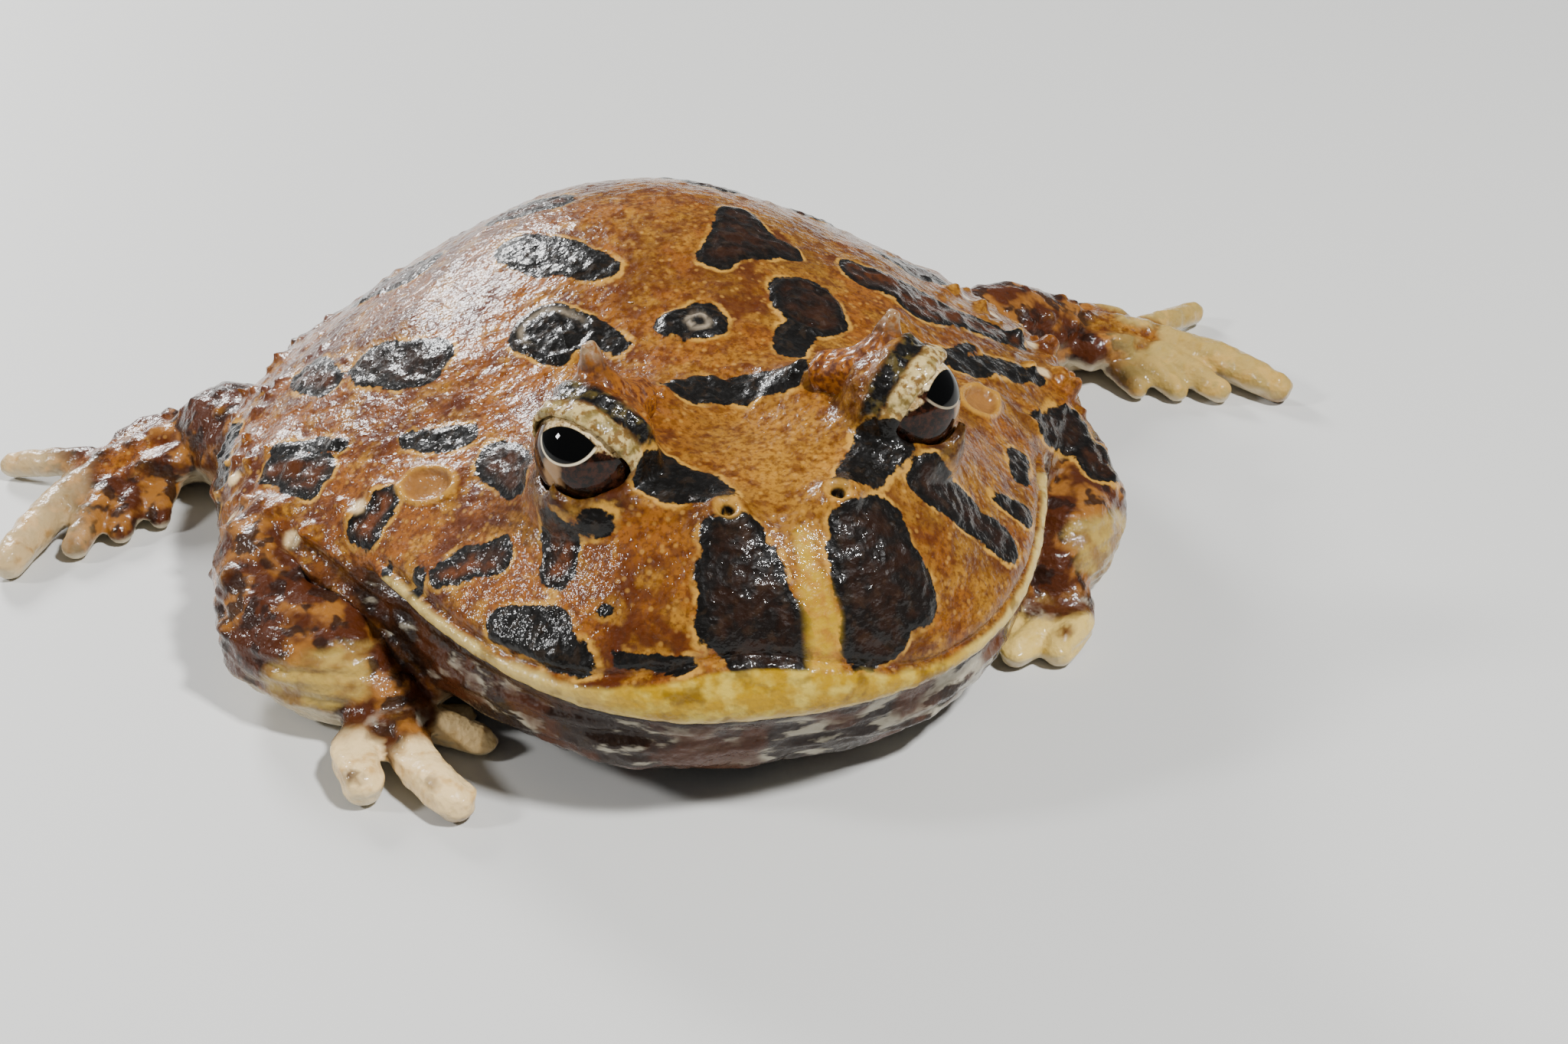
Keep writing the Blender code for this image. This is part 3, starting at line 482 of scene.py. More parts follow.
def shape_lids(points, side):
    """Draws both lids round the eye towards its front, thins their rims and folds the upper one."""
    reach, angle, top, faces, sideways = lid_angles(points, side)
    close = smooth_step(9.5, 7.0, reach) * smooth_step(LID_RIM + 48, LID_RIM + 4, angle)
    turned = np.radians(angle - close * lid_turn(top))
    rim = (angle - LID_RIM) * 0.11
    lift = 0.1 * bell(rim + 0.2, 0.7)
    fold = bell(rim - 2.5, 0.5) - 0.8 * bell(rim - 3.5, 0.7) + 0.8 * bell(rim - 4.7, 0.7)
    lift -= 0.35 * fold * np.clip(top + 0.35, 0, 1) * (reach > EYE_RADIUS + 0.5)
    lift *= smooth_step(9.0, 7.4, reach)
    thin = 0.4 * smooth_step(LID_RIM + 34, LID_RIM + 8, angle) * smooth_step(9.0, 7.6, reach)
    reach = reach + lift - thin * np.maximum(reach - EYE_RADIUS - 0.3, 0)
    sealed = smooth_step(2.0, 3.5, reach) * (angle < LID_RIM + 10)
    reach = reach + sealed * np.maximum(EYE_RADIUS + 0.14 - reach, 0)
    around = np.cos(turned)[:, None] * faces + np.sin(turned)[:, None] * sideways
    return on_side(EYE_CENTRE, side) + around * reach[:, None]


def mouth_forms(points, lift):
    """A rolled upper lip that hangs over the jaw, the thin line where the mouth shuts, and folds below it."""
    gap = mouth_gap(points)
    high = lip_height(points)
    front = smooth_step(CORNER_Y + 3.0, CORNER_Y - 4.0, points[:, 1])
    roll = np.sqrt(np.clip(1 - ((gap - 0.52 * high) / (0.56 * high)) ** 2, 0, 1))
    lift += front * (1.1 * roll - 0.45 * bell(gap - 1.14 * high, 0.5))
    lift -= front * (1.15 * bell(gap + 0.9, 0.95) + 0.8 * bell(gap + 0.15, 0.26) + 0.5 * bell(gap + 3.4, 1.8))
    wrinkles = clouds(points * (0.3, 0.3, 1.9), 1.9, 3) + 0.5 * clouds(points * (0.4, 0.4, 1.9), 1.0, 13)
    lift += 0.5 * wrinkles * smooth_step(-1.6, -3.6, gap) * smooth_step(-4, -16, points[:, 1])


def face_forms(points, lift):
    """The nostrils, the knobs of the crest, the eardrums and the folds of loose skin."""
    for side in SIDES.values():
        nose = np.linalg.norm(points - on_side(NOSTRIL, side), axis=1)
        lift += 0.38 * bell(nose - 1.5, 0.6) + 0.4 * bell(nose, 2.8) - 1.6 * bell(nose, 0.7)
        for place in CREST_KNOBS:
            lift += 0.6 * bell(np.linalg.norm(points - on_side(place, side), axis=1), 0.9)
        along = unit(on_side(EARDRUM_ALONG, side))
        out = points - on_side(EARDRUM, side)
        length = out @ along
        across = np.linalg.norm(out - length[:, None] * along, axis=1)
        oval = np.hypot(length / EARDRUM_SIZE[0], across / EARDRUM_SIZE[1])
        lift += 0.42 * bell(oval - 1.05, 0.2) - 0.3 * smooth_step(1.0, 0.6, oval)
    for height, width, line in FOLDS:
        lift += height * bell(line_distance(points, line), width)


def marking_forms(points, lift):
    """The dark markings stand up a little: the three rings as low plates and the blotches as lumps."""
    for name in ("ring right", "ring left", "ring mid"):
        inside = chain_distance(points, BLOTCHES[name][1])
        lift += 0.4 * smooth_step(0.3, -0.6, inside) - 0.25 * bell(inside + 1.5, 0.4)
        lift += 0.16 * smooth_step(-1.4, -2.0, inside) * clouds(points * (1.4, 0.5, 1), 0.9, 41)
    blotch = np.full(len(points), 9.0)
    for _, chain in BLOTCHES.values():
        blotch = np.minimum(blotch, chain_distance(points, chain))
    lumps = 0.12 + 0.17 * clouds(points, 0.85, 51) + 0.1 * clouds(points, 1.7, 52)
    lift += smooth_step(0.3, -0.7, blotch) * lumps
    lift += 0.45 * bell(chain_distance(points, BLOTCHES["between eyes"][1]), 2.5) * clouds(points, 1.1, 53)


def sculpt(points, normals):
    """Adds the forms of the face, the markings, the folds and the warts to the smooth skin."""
    lift = np.zeros(len(points))
    mouth_forms(points, lift)
    face_forms(points, lift)
    marking_forms(points, lift)
    # The brow over each eye is knobbly.
    brow = bell(eye_distance(points) - 8.5, 2.4) * smooth_step(35.5, 39.0, points[:, 2])
    lift += brow * (0.4 * clouds(points, 1.5, 31) + 0.25 * clouds(points, 0.8, 32))
    lift += 0.1 * bell(eye_distance(points) - 6.6, 0.8) * clouds(points, 0.5, 35)
    # Everywhere the skin is a little uneven, most of all low on the flanks.
    flank = smooth_step(30, 16, points[:, 2]) * smooth_step(-22, -12, points[:, 1])
    lift += (0.10 + 0.16 * flank) * clouds(points, 1.6, 33) + (0.05 + 0.06 * flank) * clouds(points, 0.8, 34)
    lift += warts(points, normals)
    lift *= smooth_step(0.2, 2.0, points[:, 2]) * smooth_step(53.4, 48.5, points[:, 1])
    return points + normals * lift[:, None]


def lip_height(points):
    """Height of the yellow upper lip, tallest a little to the right of the snout's middle."""
    return 1.5 + 5.1 * bell(points[:, 0] + 6.5, 14.5)


def warts(points, normals):
    """Low rounded warts over the back, and pointed ones along the flanks."""
    lift = np.zeros(len(points))
    chance = np.random.default_rng(11)
    roots = list(TALL_WARTS)
    trunk = np.flatnonzero((points[:, 1] > -18) & (points[:, 2] > 7) & (normals[:, 2] > -0.2))
    for index in chance.choice(trunk, 340, replace=False):
        place = points[index]
        low = smooth_step(30, 18, place[2])
        height = chance.uniform(0.1, 0.28) + low * chance.uniform(0.1, 0.7)
        roots.append((*place, height, chance.uniform(0.5, 1.1)))
    for x, y, z, high, wide in roots:
        near = np.abs(points - (x, y, z)).max(axis=1) < 3.2 * wide
        distance = np.linalg.norm(points[near] - (x, y, z), axis=1)
        lift[near] = np.maximum(lift[near], high * bell(distance, wide))
    return lift


def wart_top(points, wart):
    """The outermost point of a tall wart."""
    root = np.array(wart[:3])
    outward = unit(root - (0, root[1], 14))
    near = points[np.linalg.norm(points - root, axis=1) < 2.6]
    return near[np.argmax((near - root) @ outward)]


def refine(skin):
    """Makes the skin finer along the mouth and round the eyes, nostrils and eardrums."""
    centres = np.empty(len(skin.data.polygons) * 3, dtype=np.float32)
    skin.data.polygons.foreach_get("center", centres)
    centres = centres.reshape(-1, 3).astype(float) / MM
    mirrored = centres * np.where(centres[:, :1] < 0, (-1, 1, 1), (1, 1, 1))
    lips = (np.abs(mouth_gap(centres)) < 1.6) & (centres[:, 1] < CORNER_Y + 2)
    lids = (eye_distance(centres) < EYE_RADIUS + 2.6) & (centres[:, 2] > 29)
    nose = np.linalg.norm(mirrored - NOSTRIL, axis=1) < 2.6
    drum = np.linalg.norm(mirrored - EARDRUM, axis=1) < EARDRUM_SIZE[0] + 1.0
    chosen = lips | lids | nose | drum
    select_only(skin)
    bpy.ops.object.mode_set(mode="EDIT")
    bpy.ops.mesh.select_mode(type="FACE")
    bpy.ops.mesh.select_all(action="DESELECT")
    bpy.ops.object.mode_set(mode="OBJECT")
    skin.data.polygons.foreach_set("select", chosen)
    bpy.ops.object.mode_set(mode="EDIT")
    bpy.ops.mesh.subdivide(number_cuts=1)
    bpy.ops.object.mode_set(mode="OBJECT")


def thin_out(skin):
    """Brings the skin down to its triangle count."""
    triangles = sum(len(face.vertices) - 2 for face in skin.data.polygons)
    if triangles > SKIN_TRIANGLES:
        ratio = SKIN_TRIANGLES / triangles
        apply_modifier(skin, "DECIMATE", ratio=ratio, use_collapse_triangulate=True)


def add_attribute(obj, name, values):
    layer = obj.data.attributes.new(name, "FLOAT", "POINT")
    layer.data.foreach_set("value", np.asarray(values, dtype=np.float32))


def paint(skin, points, normals):
    """Stores where each marking is, as distances in mm or shares from 0 to 1, for the material to read."""
    rough = points + np.stack([clouds(points, 2.8, seed) for seed in (1, 2, 3)], axis=1) * 0.7
    rough += np.stack([clouds(points, 1.0, seed) for seed in (4, 5, 6)], axis=1) * 0.16
    dark = np.full(len(points), 20.0)
    brown = np.zeros(len(points))
    for middle, chain in BLOTCHES.values():
        distance = chain_distance(rough, chain)
        brown = np.where(distance < dark, middle * smooth_step(-0.5, -1.6, distance), brown)
        dark = np.minimum(dark, distance)
    add_attribute(skin, "blotch", dark)
    add_attribute(skin, "blotch_middle", brown)

    limb = limb_share(points)
    limb = neighbour_mean(limb[:, None], read_edges(skin))[:, 0]
    add_attribute(skin, "limb", limb)
    paint_lids(skin, rough)
    paint_mouth(skin, points, limb)
    paint_limbs(skin, points, limb)
    paint_marks(skin, points)

    stripe = ((1.3, -50.0, 30.4, 1.1), (1.3, -53.0, 27.0, 1.1), (1.6, -57.0, 20.4, 1.5))
    add_attribute(skin, "stripe", chain_distance(rough, stripe))
    add_attribute(skin, "golden", bell(np.linalg.norm((points - (2, -40, 34)) / (8, 14, 9), axis=1), 1.0))
    add_attribute(skin, "leftward", smooth_step(-24, 16, points[:, 0]))
    add_attribute(skin, "belly", smooth_step(0.1, -0.6, normals[:, 2]) * smooth_step(9, 3, points[:, 2]))


def paint_lids(skin, rough):
    """The pale rim of each upper lid, the fold over it darkened with painted shade of the overhanging brow,
    and painted shade under the eye.
    """
    pale, shade = np.zeros(len(rough)), np.zeros(len(rough))
    for side in SIDES.values():
        reach, angle, top, *_ = lid_angles(rough, side)
        from_rim = angle - LID_RIM + lid_turn(top)
        near, above = smooth_step(11.5, 9.4, reach), smooth_step(-0.25, 0.15, top)
        pale = np.maximum(pale, near * above * smooth_step(23, 17, from_rim))
        fold = above * smooth_step(17, 23, from_rim) * smooth_step(46, 38, from_rim)
        under = smooth_step(8.8, 7.4, reach) * smooth_step(-0.1, -0.5, top) * smooth_step(12, 5, from_rim)
        # Painted shade: the fold under the overhanging brow and the skin under the eye are darkened.
        shade = np.maximum(shade, np.maximum(near * fold, 0.6 * under))
    add_attribute(skin, "lid_pale", pale)
    add_attribute(skin, "lid_painted_shade", shade)


def paint_mouth(skin, points, limb):
    """The upper lip, the shadow under it and the jaw."""
    gap = mouth_gap(points)
    high = lip_height(points)
    front = smooth_step(CORNER_Y + 1.0, CORNER_Y - 4.0, points[:, 1])
    lip = np.abs(gap - high / 2 + 0.1) - high / 2 + clouds(points, 2.2, 8) * 0.2
    add_attribute(skin, "lip", np.where(front > 0.01, lip + 3 * (1 - front), 9.0))
    add_attribute(skin, "lip_rise", gap / high)
    add_attribute(skin, "lip_side", smooth_step(14, 26, np.abs(points[:, 0] + 2)))
    add_attribute(skin, "under_lip", front * smooth_step(0.2, -0.2, gap) * smooth_step(-3.4, -1.0, gap))
    jaw = smooth_step(0.1, -0.3, gap) * smooth_step(-10, -24, points[:, 1]) * (1 - limb)
    add_attribute(skin, "jaw", jaw)


def both_sides(points):
    """The points with those on the frog's right mirrored onto its left."""
    return np.abs(points) * (1, 0, 1) + points * (0, 1, 0)


def paint_limbs(skin, points, limb):
    """The pale fingers and toes, and the olive inside of the arms."""
    add_attribute(skin, "cream", cream_share(points) * limb)
    mirrored = both_sides(points)
    inner = chain_distance(mirrored, ((43.6, -27.0, 8.5, 3.6), (48.4, -25.0, 6.5, 4.0)))
    add_attribute(skin, "inner_arm", limb * smooth_step(0.7, -0.9, inner + 0.9 * clouds(points, 2.4, 9)))


def paint_marks(skin, points):
    """The nostrils, the eardrums, the tips of the tall warts and the pale lines inside two of the rings."""
    mirrored = both_sides(points)
    add_attribute(skin, "nostril", np.linalg.norm(mirrored - NOSTRIL, axis=1))
    out = mirrored - EARDRUM
    length = out @ unit(EARDRUM_ALONG)
    across = np.linalg.norm(out - length[:, None] * unit(EARDRUM_ALONG), axis=1)
    add_attribute(skin, "eardrum", np.hypot(length / EARDRUM_SIZE[0], across / EARDRUM_SIZE[1]))
    tips = [bell(np.linalg.norm(points - wart_top(points, wart), axis=1), 1.1) for wart in TALL_WARTS]
    add_attribute(skin, "wart_tip", np.max(tips, axis=0))
    inside = chain_distance(points, BLOTCHES["ring right"][1])
    line = bell(inside + 1.35, 0.3) * smooth_step(-9.5, -5.5, points[:, 1])
    mid = np.linalg.norm(points - (0.5, -12.9, 37.3), axis=1)
    add_attribute(skin, "ring_line", np.maximum(0.7 * line, bell(mid - 1.2, 0.26)))


def cream_share(points):
    """1 on the pale ends of the fingers, and about a half on the far ends of the toes."""
    share = np.zeros(len(points))
    ragged = 1.1 * clouds(points, 2.4, 9)
    for label, side in SIDES.items():
        mirrored = points * (side, 1, 1)
        for finger in FINGERS[label]:
            start, end = np.array(finger[0][:3]), np.array(finger[-1][:3])
            along = (mirrored - start) @ unit(end - start) / np.linalg.norm(end - start)
            near = chain_distance(mirrored, bent(finger)) < 0.9
            share = np.maximum(share, near * smooth_step(0.12, 0.42, along + 0.12 * ragged))
    feet = smooth_step(67, 75, np.abs(points[:, 0]) + 2 * ragged)
    return np.maximum(share, 0.55 * feet)


def limb_distance(points, label):
    """Distance outside the arm and the leg of one side, with their fingers and toes."""
    side = SIDES[label]
    palm = PALM + PALM_SHIFT[label]
    heel = np.array((*HEELS[label], 0))
    arm = [UPPER_ARMS[label], FOREARMS[label], *FINGERS[label]]
    arm.append(((*(palm + (-2.6, -0.4, 0)), 2.9), (*(palm + (1.8, -1.8, 0)), 2.9)))
    leg = [THIGHS[label], SHANKS[label]]
    leg += [[(*(heel + spot[:3]), spot[3]) for spot in chain] for chain in TOES + FOOT_FORMS]
    near_arm = points[:, 1] < 5
    total = np.full(len(points), 9.0)
    for chains, part in ((arm, near_arm), (leg, ~near_arm)):
        chains = [other_side(bent(chain), side) for chain in chains]
        total[part] = fused_distance(points[part], chains, blend=1.1)
    return total


def round_limbs(points, share):
    """Rounds the arms, legs, fingers and toes."""
    for label, side in SIDES.items():
        chosen = np.flatnonzero((share > 0.02) & (points[:, 0] * side > 12))
        drawn = drawn_onto(points[chosen], lambda p: limb_distance(p, label), rounds=3)
        move = drawn - points[chosen]
        length = np.linalg.norm(move, axis=1)
        trust = smooth_step(0.1, 0.8, share[chosen]) * smooth_step(2.6, 1.4, length)
        points[chosen] += move * trust[:, None]
    return points


def make_skin():
    skin = flesh_copy()
    write_points(skin, read_points(skin) - read_normals(skin) * SWELL)
    refine(skin)
    edges = read_edges(skin)
    points = read_points(skin)
    everywhere = np.ones(len(points))
    limbs = relaxed(limb_share(points)[:, None], edges, rounds=5, amount=everywhere)[:, 0]
    lips = bell(mouth_gap(points), 2.5) * smooth_step(-18, -24, points[:, 1])
    calm = (1 - 0.75 * limbs) * (1 - 0.85 * smooth_step(10.5, 8.0, eye_distance(points))) * (1 - 0.6 * lips)
    points = relaxed(points, edges, rounds=46, amount=calm)
    points = round_limbs(points, limbs)
    points = relaxed(points, edges, rounds=3, amount=0.8 * limbs)
    for side in SIDES.values():
        points = shape_lids(points, side)
    write_points(skin, points)
    points = sculpt(points, read_normals(skin))
    write_points(skin, relaxed(points, edges, rounds=1, amount=0.35 * everywhere))
    thin_out(skin)
    skin.data.shade_smooth()
    # The snout's front is drawn back a little, and nothing passes the solids' box.
    points = read_points(skin)
    points[:, 1] += 0.1 * np.minimum(points[:, 1] + 50, 0) ** 2 / 8
    low, high = np.array(cad_box) / MM
    points = np.clip(points, low, high)
    write_points(skin, points)
    paint(skin, points, read_normals(skin))
    skin.data.materials.append(skin_material())
    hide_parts(*TRUNK, *LIMBS)
    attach(skin, "root")


def make_horn(label, side):
    """The pointed tip of the upper lid, with an edge that runs in to the crest."""
    chains = [other_side(chain, side) for chain in HORNS[label]]
    bpy.ops.object.select_all(action="DESELECT")
    bpy.ops.mesh.primitive_ico_sphere_add(
        subdivisions=6, radius=HORN_REACH * MM, location=on_side(HORN_MIDDLE, side) * MM
    )
    horn = bpy.context.object
    horn.name = f"horn_{label}_tip"
    bpy.ops.object.transform_apply(location=True, rotation=True, scale=True)
    points = drawn_onto(read_points(horn), lambda p: fused_distance(p, chains, blend=1.4), rounds=8)
    points = relaxed(points, read_edges(horn), rounds=3, amount=np.full(len(points), 0.7))
    write_points(horn, points)
    normals = read_normals(horn)
    furrows = clouds(points * (1.5, 1.5, 0.6), 1.1, 21) * 0.16 + clouds(points, 0.6, 22) * 0.07
    write_points(horn, points + normals * (0.08 + furrows)[:, None])
    horn.data.shade_smooth()
    points = read_points(horn)
    root, tip = chains[0][0, :3], chains[0][-1, :3]
    share = (points - root) @ unit(tip - root) / np.linalg.norm(tip - root)
    add_attribute(horn, "height", share)
    # The knob's end is pale skin; the pale at the spike's tip is a painted highlight.
    ends = (tip, chains[2][-1, :3])
    pale = np.max([bell(np.linalg.norm(points - end, axis=1), 1.2) for end in ends], axis=0)
    add_attribute(horn, "pale_knob_and_tip_glint", pale)
    horn.data.materials.append(horn_material())
    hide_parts(f"horn_{label}")
    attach(horn, "root")


def eye_axes(side):
    """The eye's own directions: along the pupil towards the snout, across it upwards, and where it looks."""
    looks = unit(on_side(GAZE, side))
    level = unit(np.cross((0, 0, 1.0), looks)) * -side
    rise = unit(np.array((0, 0, 1.0)) - looks[2] * looks)
    return level, rise, looks


def make_eye(label, side):
    """A ball with a clear bulge in front, under the lids."""
    centre = on_side(EYE_CENTRE, side)
    forward, up, looks = eye_axes(side)
    bpy.ops.object.select_all(action="DESELECT")
    turn = Vector(looks).to_track_quat("Z", "Y").to_euler()
    bpy.ops.mesh.primitive_uv_sphere_add(
        segments=96, ring_count=64, radius=(EYE_RADIUS - 0.05) * MM, location=centre * MM, rotation=turn
    )
    ball = bpy.context.object
    ball.name = f"eyeball_{label}"
    bpy.ops.object.transform_apply(location=True, rotation=True, scale=True)
    points = read_points(ball)
    out = points - centre
    ahead = out @ looks / EYE_RADIUS
    bulge = smooth_step(0.55, 1.0, ahead) * EYE_BULGE
    write_points(ball, points + looks * bulge[:, None])
    ball.data.shade_smooth()
    # Places on the iris, in eye radii: towards the snout, up, and out.
    points = (read_points(ball) - centre) / EYE_RADIUS
    for name, axis in (("snoutward", forward), ("upward", up), ("outward", looks)):
        add_attribute(ball, name, points @ axis)
    ball.data.materials.append(eye_material(RIM_SHOWS[label]))
    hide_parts(f"eye_{label}")
    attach(ball, "root")


class Graph:
    """A material's nodes, added one at a time."""

    def __init__(self, name):
        self.material = bpy.data.materials.new(name)
        self.material.use_nodes = True
        self.tree = self.material.node_tree
        self.shader = self.tree.nodes["Principled BSDF"]

    def put(self, kind, values=None, **settings):
        """Adds a node. values holds what goes in each input: a number, a colour or another node's output."""
        node = self.tree.nodes.new(kind)
        for key, value in settings.items():
            setattr(node, key, value)
        for key, value in (values or {}).items():
            self.feed(node.inputs[key], value)
        return node

    def feed(self, socket, value):
        if isinstance(value, bpy.types.NodeSocket):
            self.tree.links.new(value, socket)
        else:
            socket.default_value = value

    def mix(self, share, first, second):
        first, second = [(*c, 1.0) if isinstance(c, tuple) and len(c) == 3 else c for c in (first, second)]
        node = self.put("ShaderNodeMix", {0: share, 6: first, 7: second}, data_type="RGBA")
        return node.outputs[2]

    def step(self, value, low, high, bottom=0.0, top=1.0):
        """Goes smoothly from bottom to top while the value goes from low to high."""
        values = {"Value": value, "From Min": low, "From Max": high, "To Min": bottom, "To Max": top}
        return self.put("ShaderNodeMapRange", values, interpolation_type="SMOOTHSTEP").outputs[0]

    def math(self, operation, first, second=0.0):
        return self.put("ShaderNodeMath", {0: first, 1: second}, operation=operation).outputs[0]

    def attribute(self, name):
        return self.put("ShaderNodeAttribute", attribute_name=name, attribute_type="GEOMETRY").outputs["Fac"]

    def place(self, stretch=(1, 1, 1)):
        where = self.put("ShaderNodeTexCoord").outputs["Object"]
        return self.put("ShaderNodeMapping", {"Vector": where, "Scale": stretch}).outputs[0]

    def grain(self, size, detail=3.0, stretch=(1, 1, 1), roughness=0.5):
        """Clouds whose lumps are so many mm wide, from 0 to 1."""
        values = {"Vector": self.place(stretch), "Scale": 1 / (size * MM), "Detail": detail}
        values["Roughness"] = roughness
        return self.put("ShaderNodeTexNoise", values).outputs["Fac"]

    def patches(self, size, low, high, bottom=0.0, top=1.0):
        return self.step(self.grain(size), low, high, bottom, top)

    def pebbles(self, size):
        """Distance from the middle of the nearest pebble, in a pattern of pebbles so many mm wide."""
        values = {"Vector": self.place(), "Scale": 1 / (size * MM)}
        return self.put("ShaderNodeTexVoronoi", values).outputs["Distance"]

    def relief(self, height, depth, strength, below=None):
        values = {"Height": height, "Distance": depth * MM, "Strength": strength}
        if below is not None:
            values["Normal"] = below
        return self.put("ShaderNodeBump", values).outputs["Normal"]

    def finish(self, **sockets):
        for name, value in sockets.items():
            self.feed(self.shader.inputs[name.replace("_", " ")], value)
        return self.material


# Colours, as linear red, green and blue.
ORANGE = (0.25, 0.078, 0.007)
GOLDEN = (0.41, 0.185, 0.018)
OCHRE = (0.26, 0.12, 0.010)
RUSSET = (0.075, 0.015, 0.002)
SPECKLE_BROWN = (0.06, 0.015, 0.003)
SPECKLE_GOLD = (0.58, 0.30, 0.06)
OUTLINE = (0.58, 0.30, 0.045)
INK = (0.0035, 0.0028, 0.0022)
INK_BROWN = (0.035, 0.020, 0.010)
UMBER = (0.13, 0.034, 0.006)
LIMB_TAN = (0.26, 0.10, 0.016)
LIMB_BROWN = (0.06, 0.014, 0.003)
LIMB_BLACK = (0.018, 0.006, 0.003)
CREAM = (0.86, 0.62, 0.30)
CREAM_TAN = (0.62, 0.38, 0.13)
CREAM_YELLOW = (0.58, 0.40, 0.06)
OLIVE = (0.44, 0.30, 0.07)
DEEP_OLIVE = (0.24, 0.13, 0.03)
BELLY = (0.62, 0.52, 0.34)
BELLY_TAN = (0.30, 0.2, 0.1)
JAW_BLACK = (0.014, 0.006, 0.003)
JAW_BROWN = (0.075, 0.020, 0.005)
STONE = (0.42, 0.38, 0.29)
MOUTH_SHADOW = (0.007, 0.003, 0.0015)
LID_CREAM = (0.56, 0.42, 0.17)
LID_BROWN = (0.17, 0.09, 0.02)
LID_OLIVE = (0.15, 0.11, 0.025)
FOLD_OLIVE = (0.07, 0.05, 0.012)
DRUM_BROWN = (0.20, 0.075, 0.03)
WART_CREAM = (0.72, 0.52, 0.26)
RING_GREY = (0.42, 0.34, 0.24)
STRIPE_YELLOW = (0.50, 0.30, 0.015)
LIP_YELLOW = (0.40, 0.225, 0.002)
LIP_PALE = (0.60, 0.43, 0.06)
LIP_EDGE = (0.70, 0.55, 0.24)
LIP_CORNER = (0.56, 0.42, 0.15)
LIP_SPOT = (0.12, 0.055, 0.004)
HORN_ORANGE = (0.27, 0.088, 0.010)
HORN_BROWN = (0.09, 0.022, 0.005)
HORN_DARK = (0.065, 0.024, 0.007)
HORN_PALE = (0.50, 0.36, 0.20)
IRIS_CREAM = (0.74, 0.58, 0.32)
IRIS_TAN = (0.40, 0.25, 0.09)
IRIS_SPECKLE = (0.04, 0.018, 0.008)
IRIS_BLACK = (0.005, 0.0025, 0.0015)
IRIS_BROWN = (0.036, 0.011, 0.005)
IRIS_PATCH = (0.42, 0.25, 0.12)
IRIS_SHADE = (0.035, 0.014, 0.007)
PUPIL_RIM = (0.80, 0.68, 0.47)
PUPIL_BLACK = (0.001, 0.001, 0.001)
EYEBALL_BACK = (0.03, 0.018, 0.012)
FLOOR_GREY = (0.62, 0.62, 0.60)
SKY = (0.84, 0.87, 0.90)


def ground_colour(g, fine, broad):
    """Orange-brown with russet clouds, more ochre on the left as painted warm light, and golden in the middle
    of the head.
    """
    ground = g.mix(g.step(broad, 0.40, 0.62), ORANGE, RUSSET)
    ground = g.mix(g.patches(3.6, 0.50, 0.68, 0.0, 0.7), ground, GOLDEN)
    ground = g.mix(g.math("MULTIPLY", g.attribute("golden"), 0.85), ground, GOLDEN)
    # Painted warm light: the frog's left is tinted ochre.
    ochre = g.math("MULTIPLY", g.attribute("leftward"), g.patches(5.0, 0.38, 0.60, 0.1, 0.6))
    ground = g.mix(ochre, ground, OCHRE)
    ground = g.mix(g.step(fine, 0.32, 0.58, 0.6, 0.0), ground, RUSSET)
    ground = g.mix(g.step(g.grain(1.7, 4.0), 0.50, 0.64, 0.0, 0.65), ground, RUSSET)
    ground = g.mix(g.step(g.grain(0.45, 2.0), 0.50, 0.66, 0.0, 0.5), ground, SPECKLE_BROWN)
    return g.mix(g.step(g.pebbles(1.3), 0.30, 0.10, 0.0, 0.35), ground, SPECKLE_GOLD)


def with_limbs(g, colour):
    """Dark bands on tan arms and legs, cream fingers and toes, yellower on the left as painted warm light,
    and olive inside the arms.
    """
    limb = g.attribute("limb")
    banded = g.mix(g.patches(5.0, 0.38, 0.52), LIMB_TAN, LIMB_BROWN)
    banded = g.mix(g.step(g.grain(2.6, 2.0), 0.50, 0.60, 0.0, 0.9), banded, LIMB_BLACK)
    colour = g.mix(limb, colour, banded)
    cream = g.mix(g.patches(1.8, 0.50, 0.75), CREAM, CREAM_TAN)
    # Painted warm light: the cream on the frog's left is tinted yellow.
    cream = g.mix(g.math("MULTIPLY", g.attribute("leftward"), 0.7), cream, CREAM_YELLOW)
    colour = g.mix(g.attribute("cream"), colour, cream)
    olive = g.mix(g.patches(3.0, 0.42, 0.64), OLIVE, DEEP_OLIVE)
    return g.mix(g.math("MULTIPLY", g.attribute("inner_arm"), 0.85), colour, olive)


def with_jaw(g, colour):
    """A dark jaw mottled with whitish streaks that run along it, in shadow under the lip."""
    streaks = g.grain(2.0, 4.0, (0.4, 0.4, 1.3))
    whitish = g.math("ADD", streaks, g.step(g.attribute("leftward"), 0.0, 1.0, -0.07, 0.03))
    jaw = g.mix(g.step(whitish, 0.49, 0.59), JAW_BLACK, STONE)
    jaw = g.mix(g.patches(6.0, 0.44, 0.60, 0.0, 0.92), jaw, JAW_BROWN)
    jaw = g.mix(g.attribute("under_lip"), jaw, MOUTH_SHADOW)
    return g.mix(g.math("MULTIPLY", g.attribute("jaw"), 0.97), colour, jaw)


def with_lids(g, colour):
    """Speckled cream along the upper lid, under a fold darkened with painted shade, and painted shade under
    the eye.
    """
    rim = g.mix(g.step(g.grain(0.8, 5.0), 0.42, 0.60), LID_CREAM, LID_BROWN)
    rim = g.mix(g.step(g.grain(2.0, 4.0), 0.48, 0.62, 0.0, 0.7), rim, LID_OLIVE)
    colour = g.mix(g.attribute("lid_pale"), colour, rim)
    # Painted shade: the fold under the brow and the skin under the eye are darkened.
    fold = g.mix(g.patches(1.3, 0.46, 0.66), INK, FOLD_OLIVE)
    return g.mix(g.attribute("lid_painted_shade"), colour, fold)


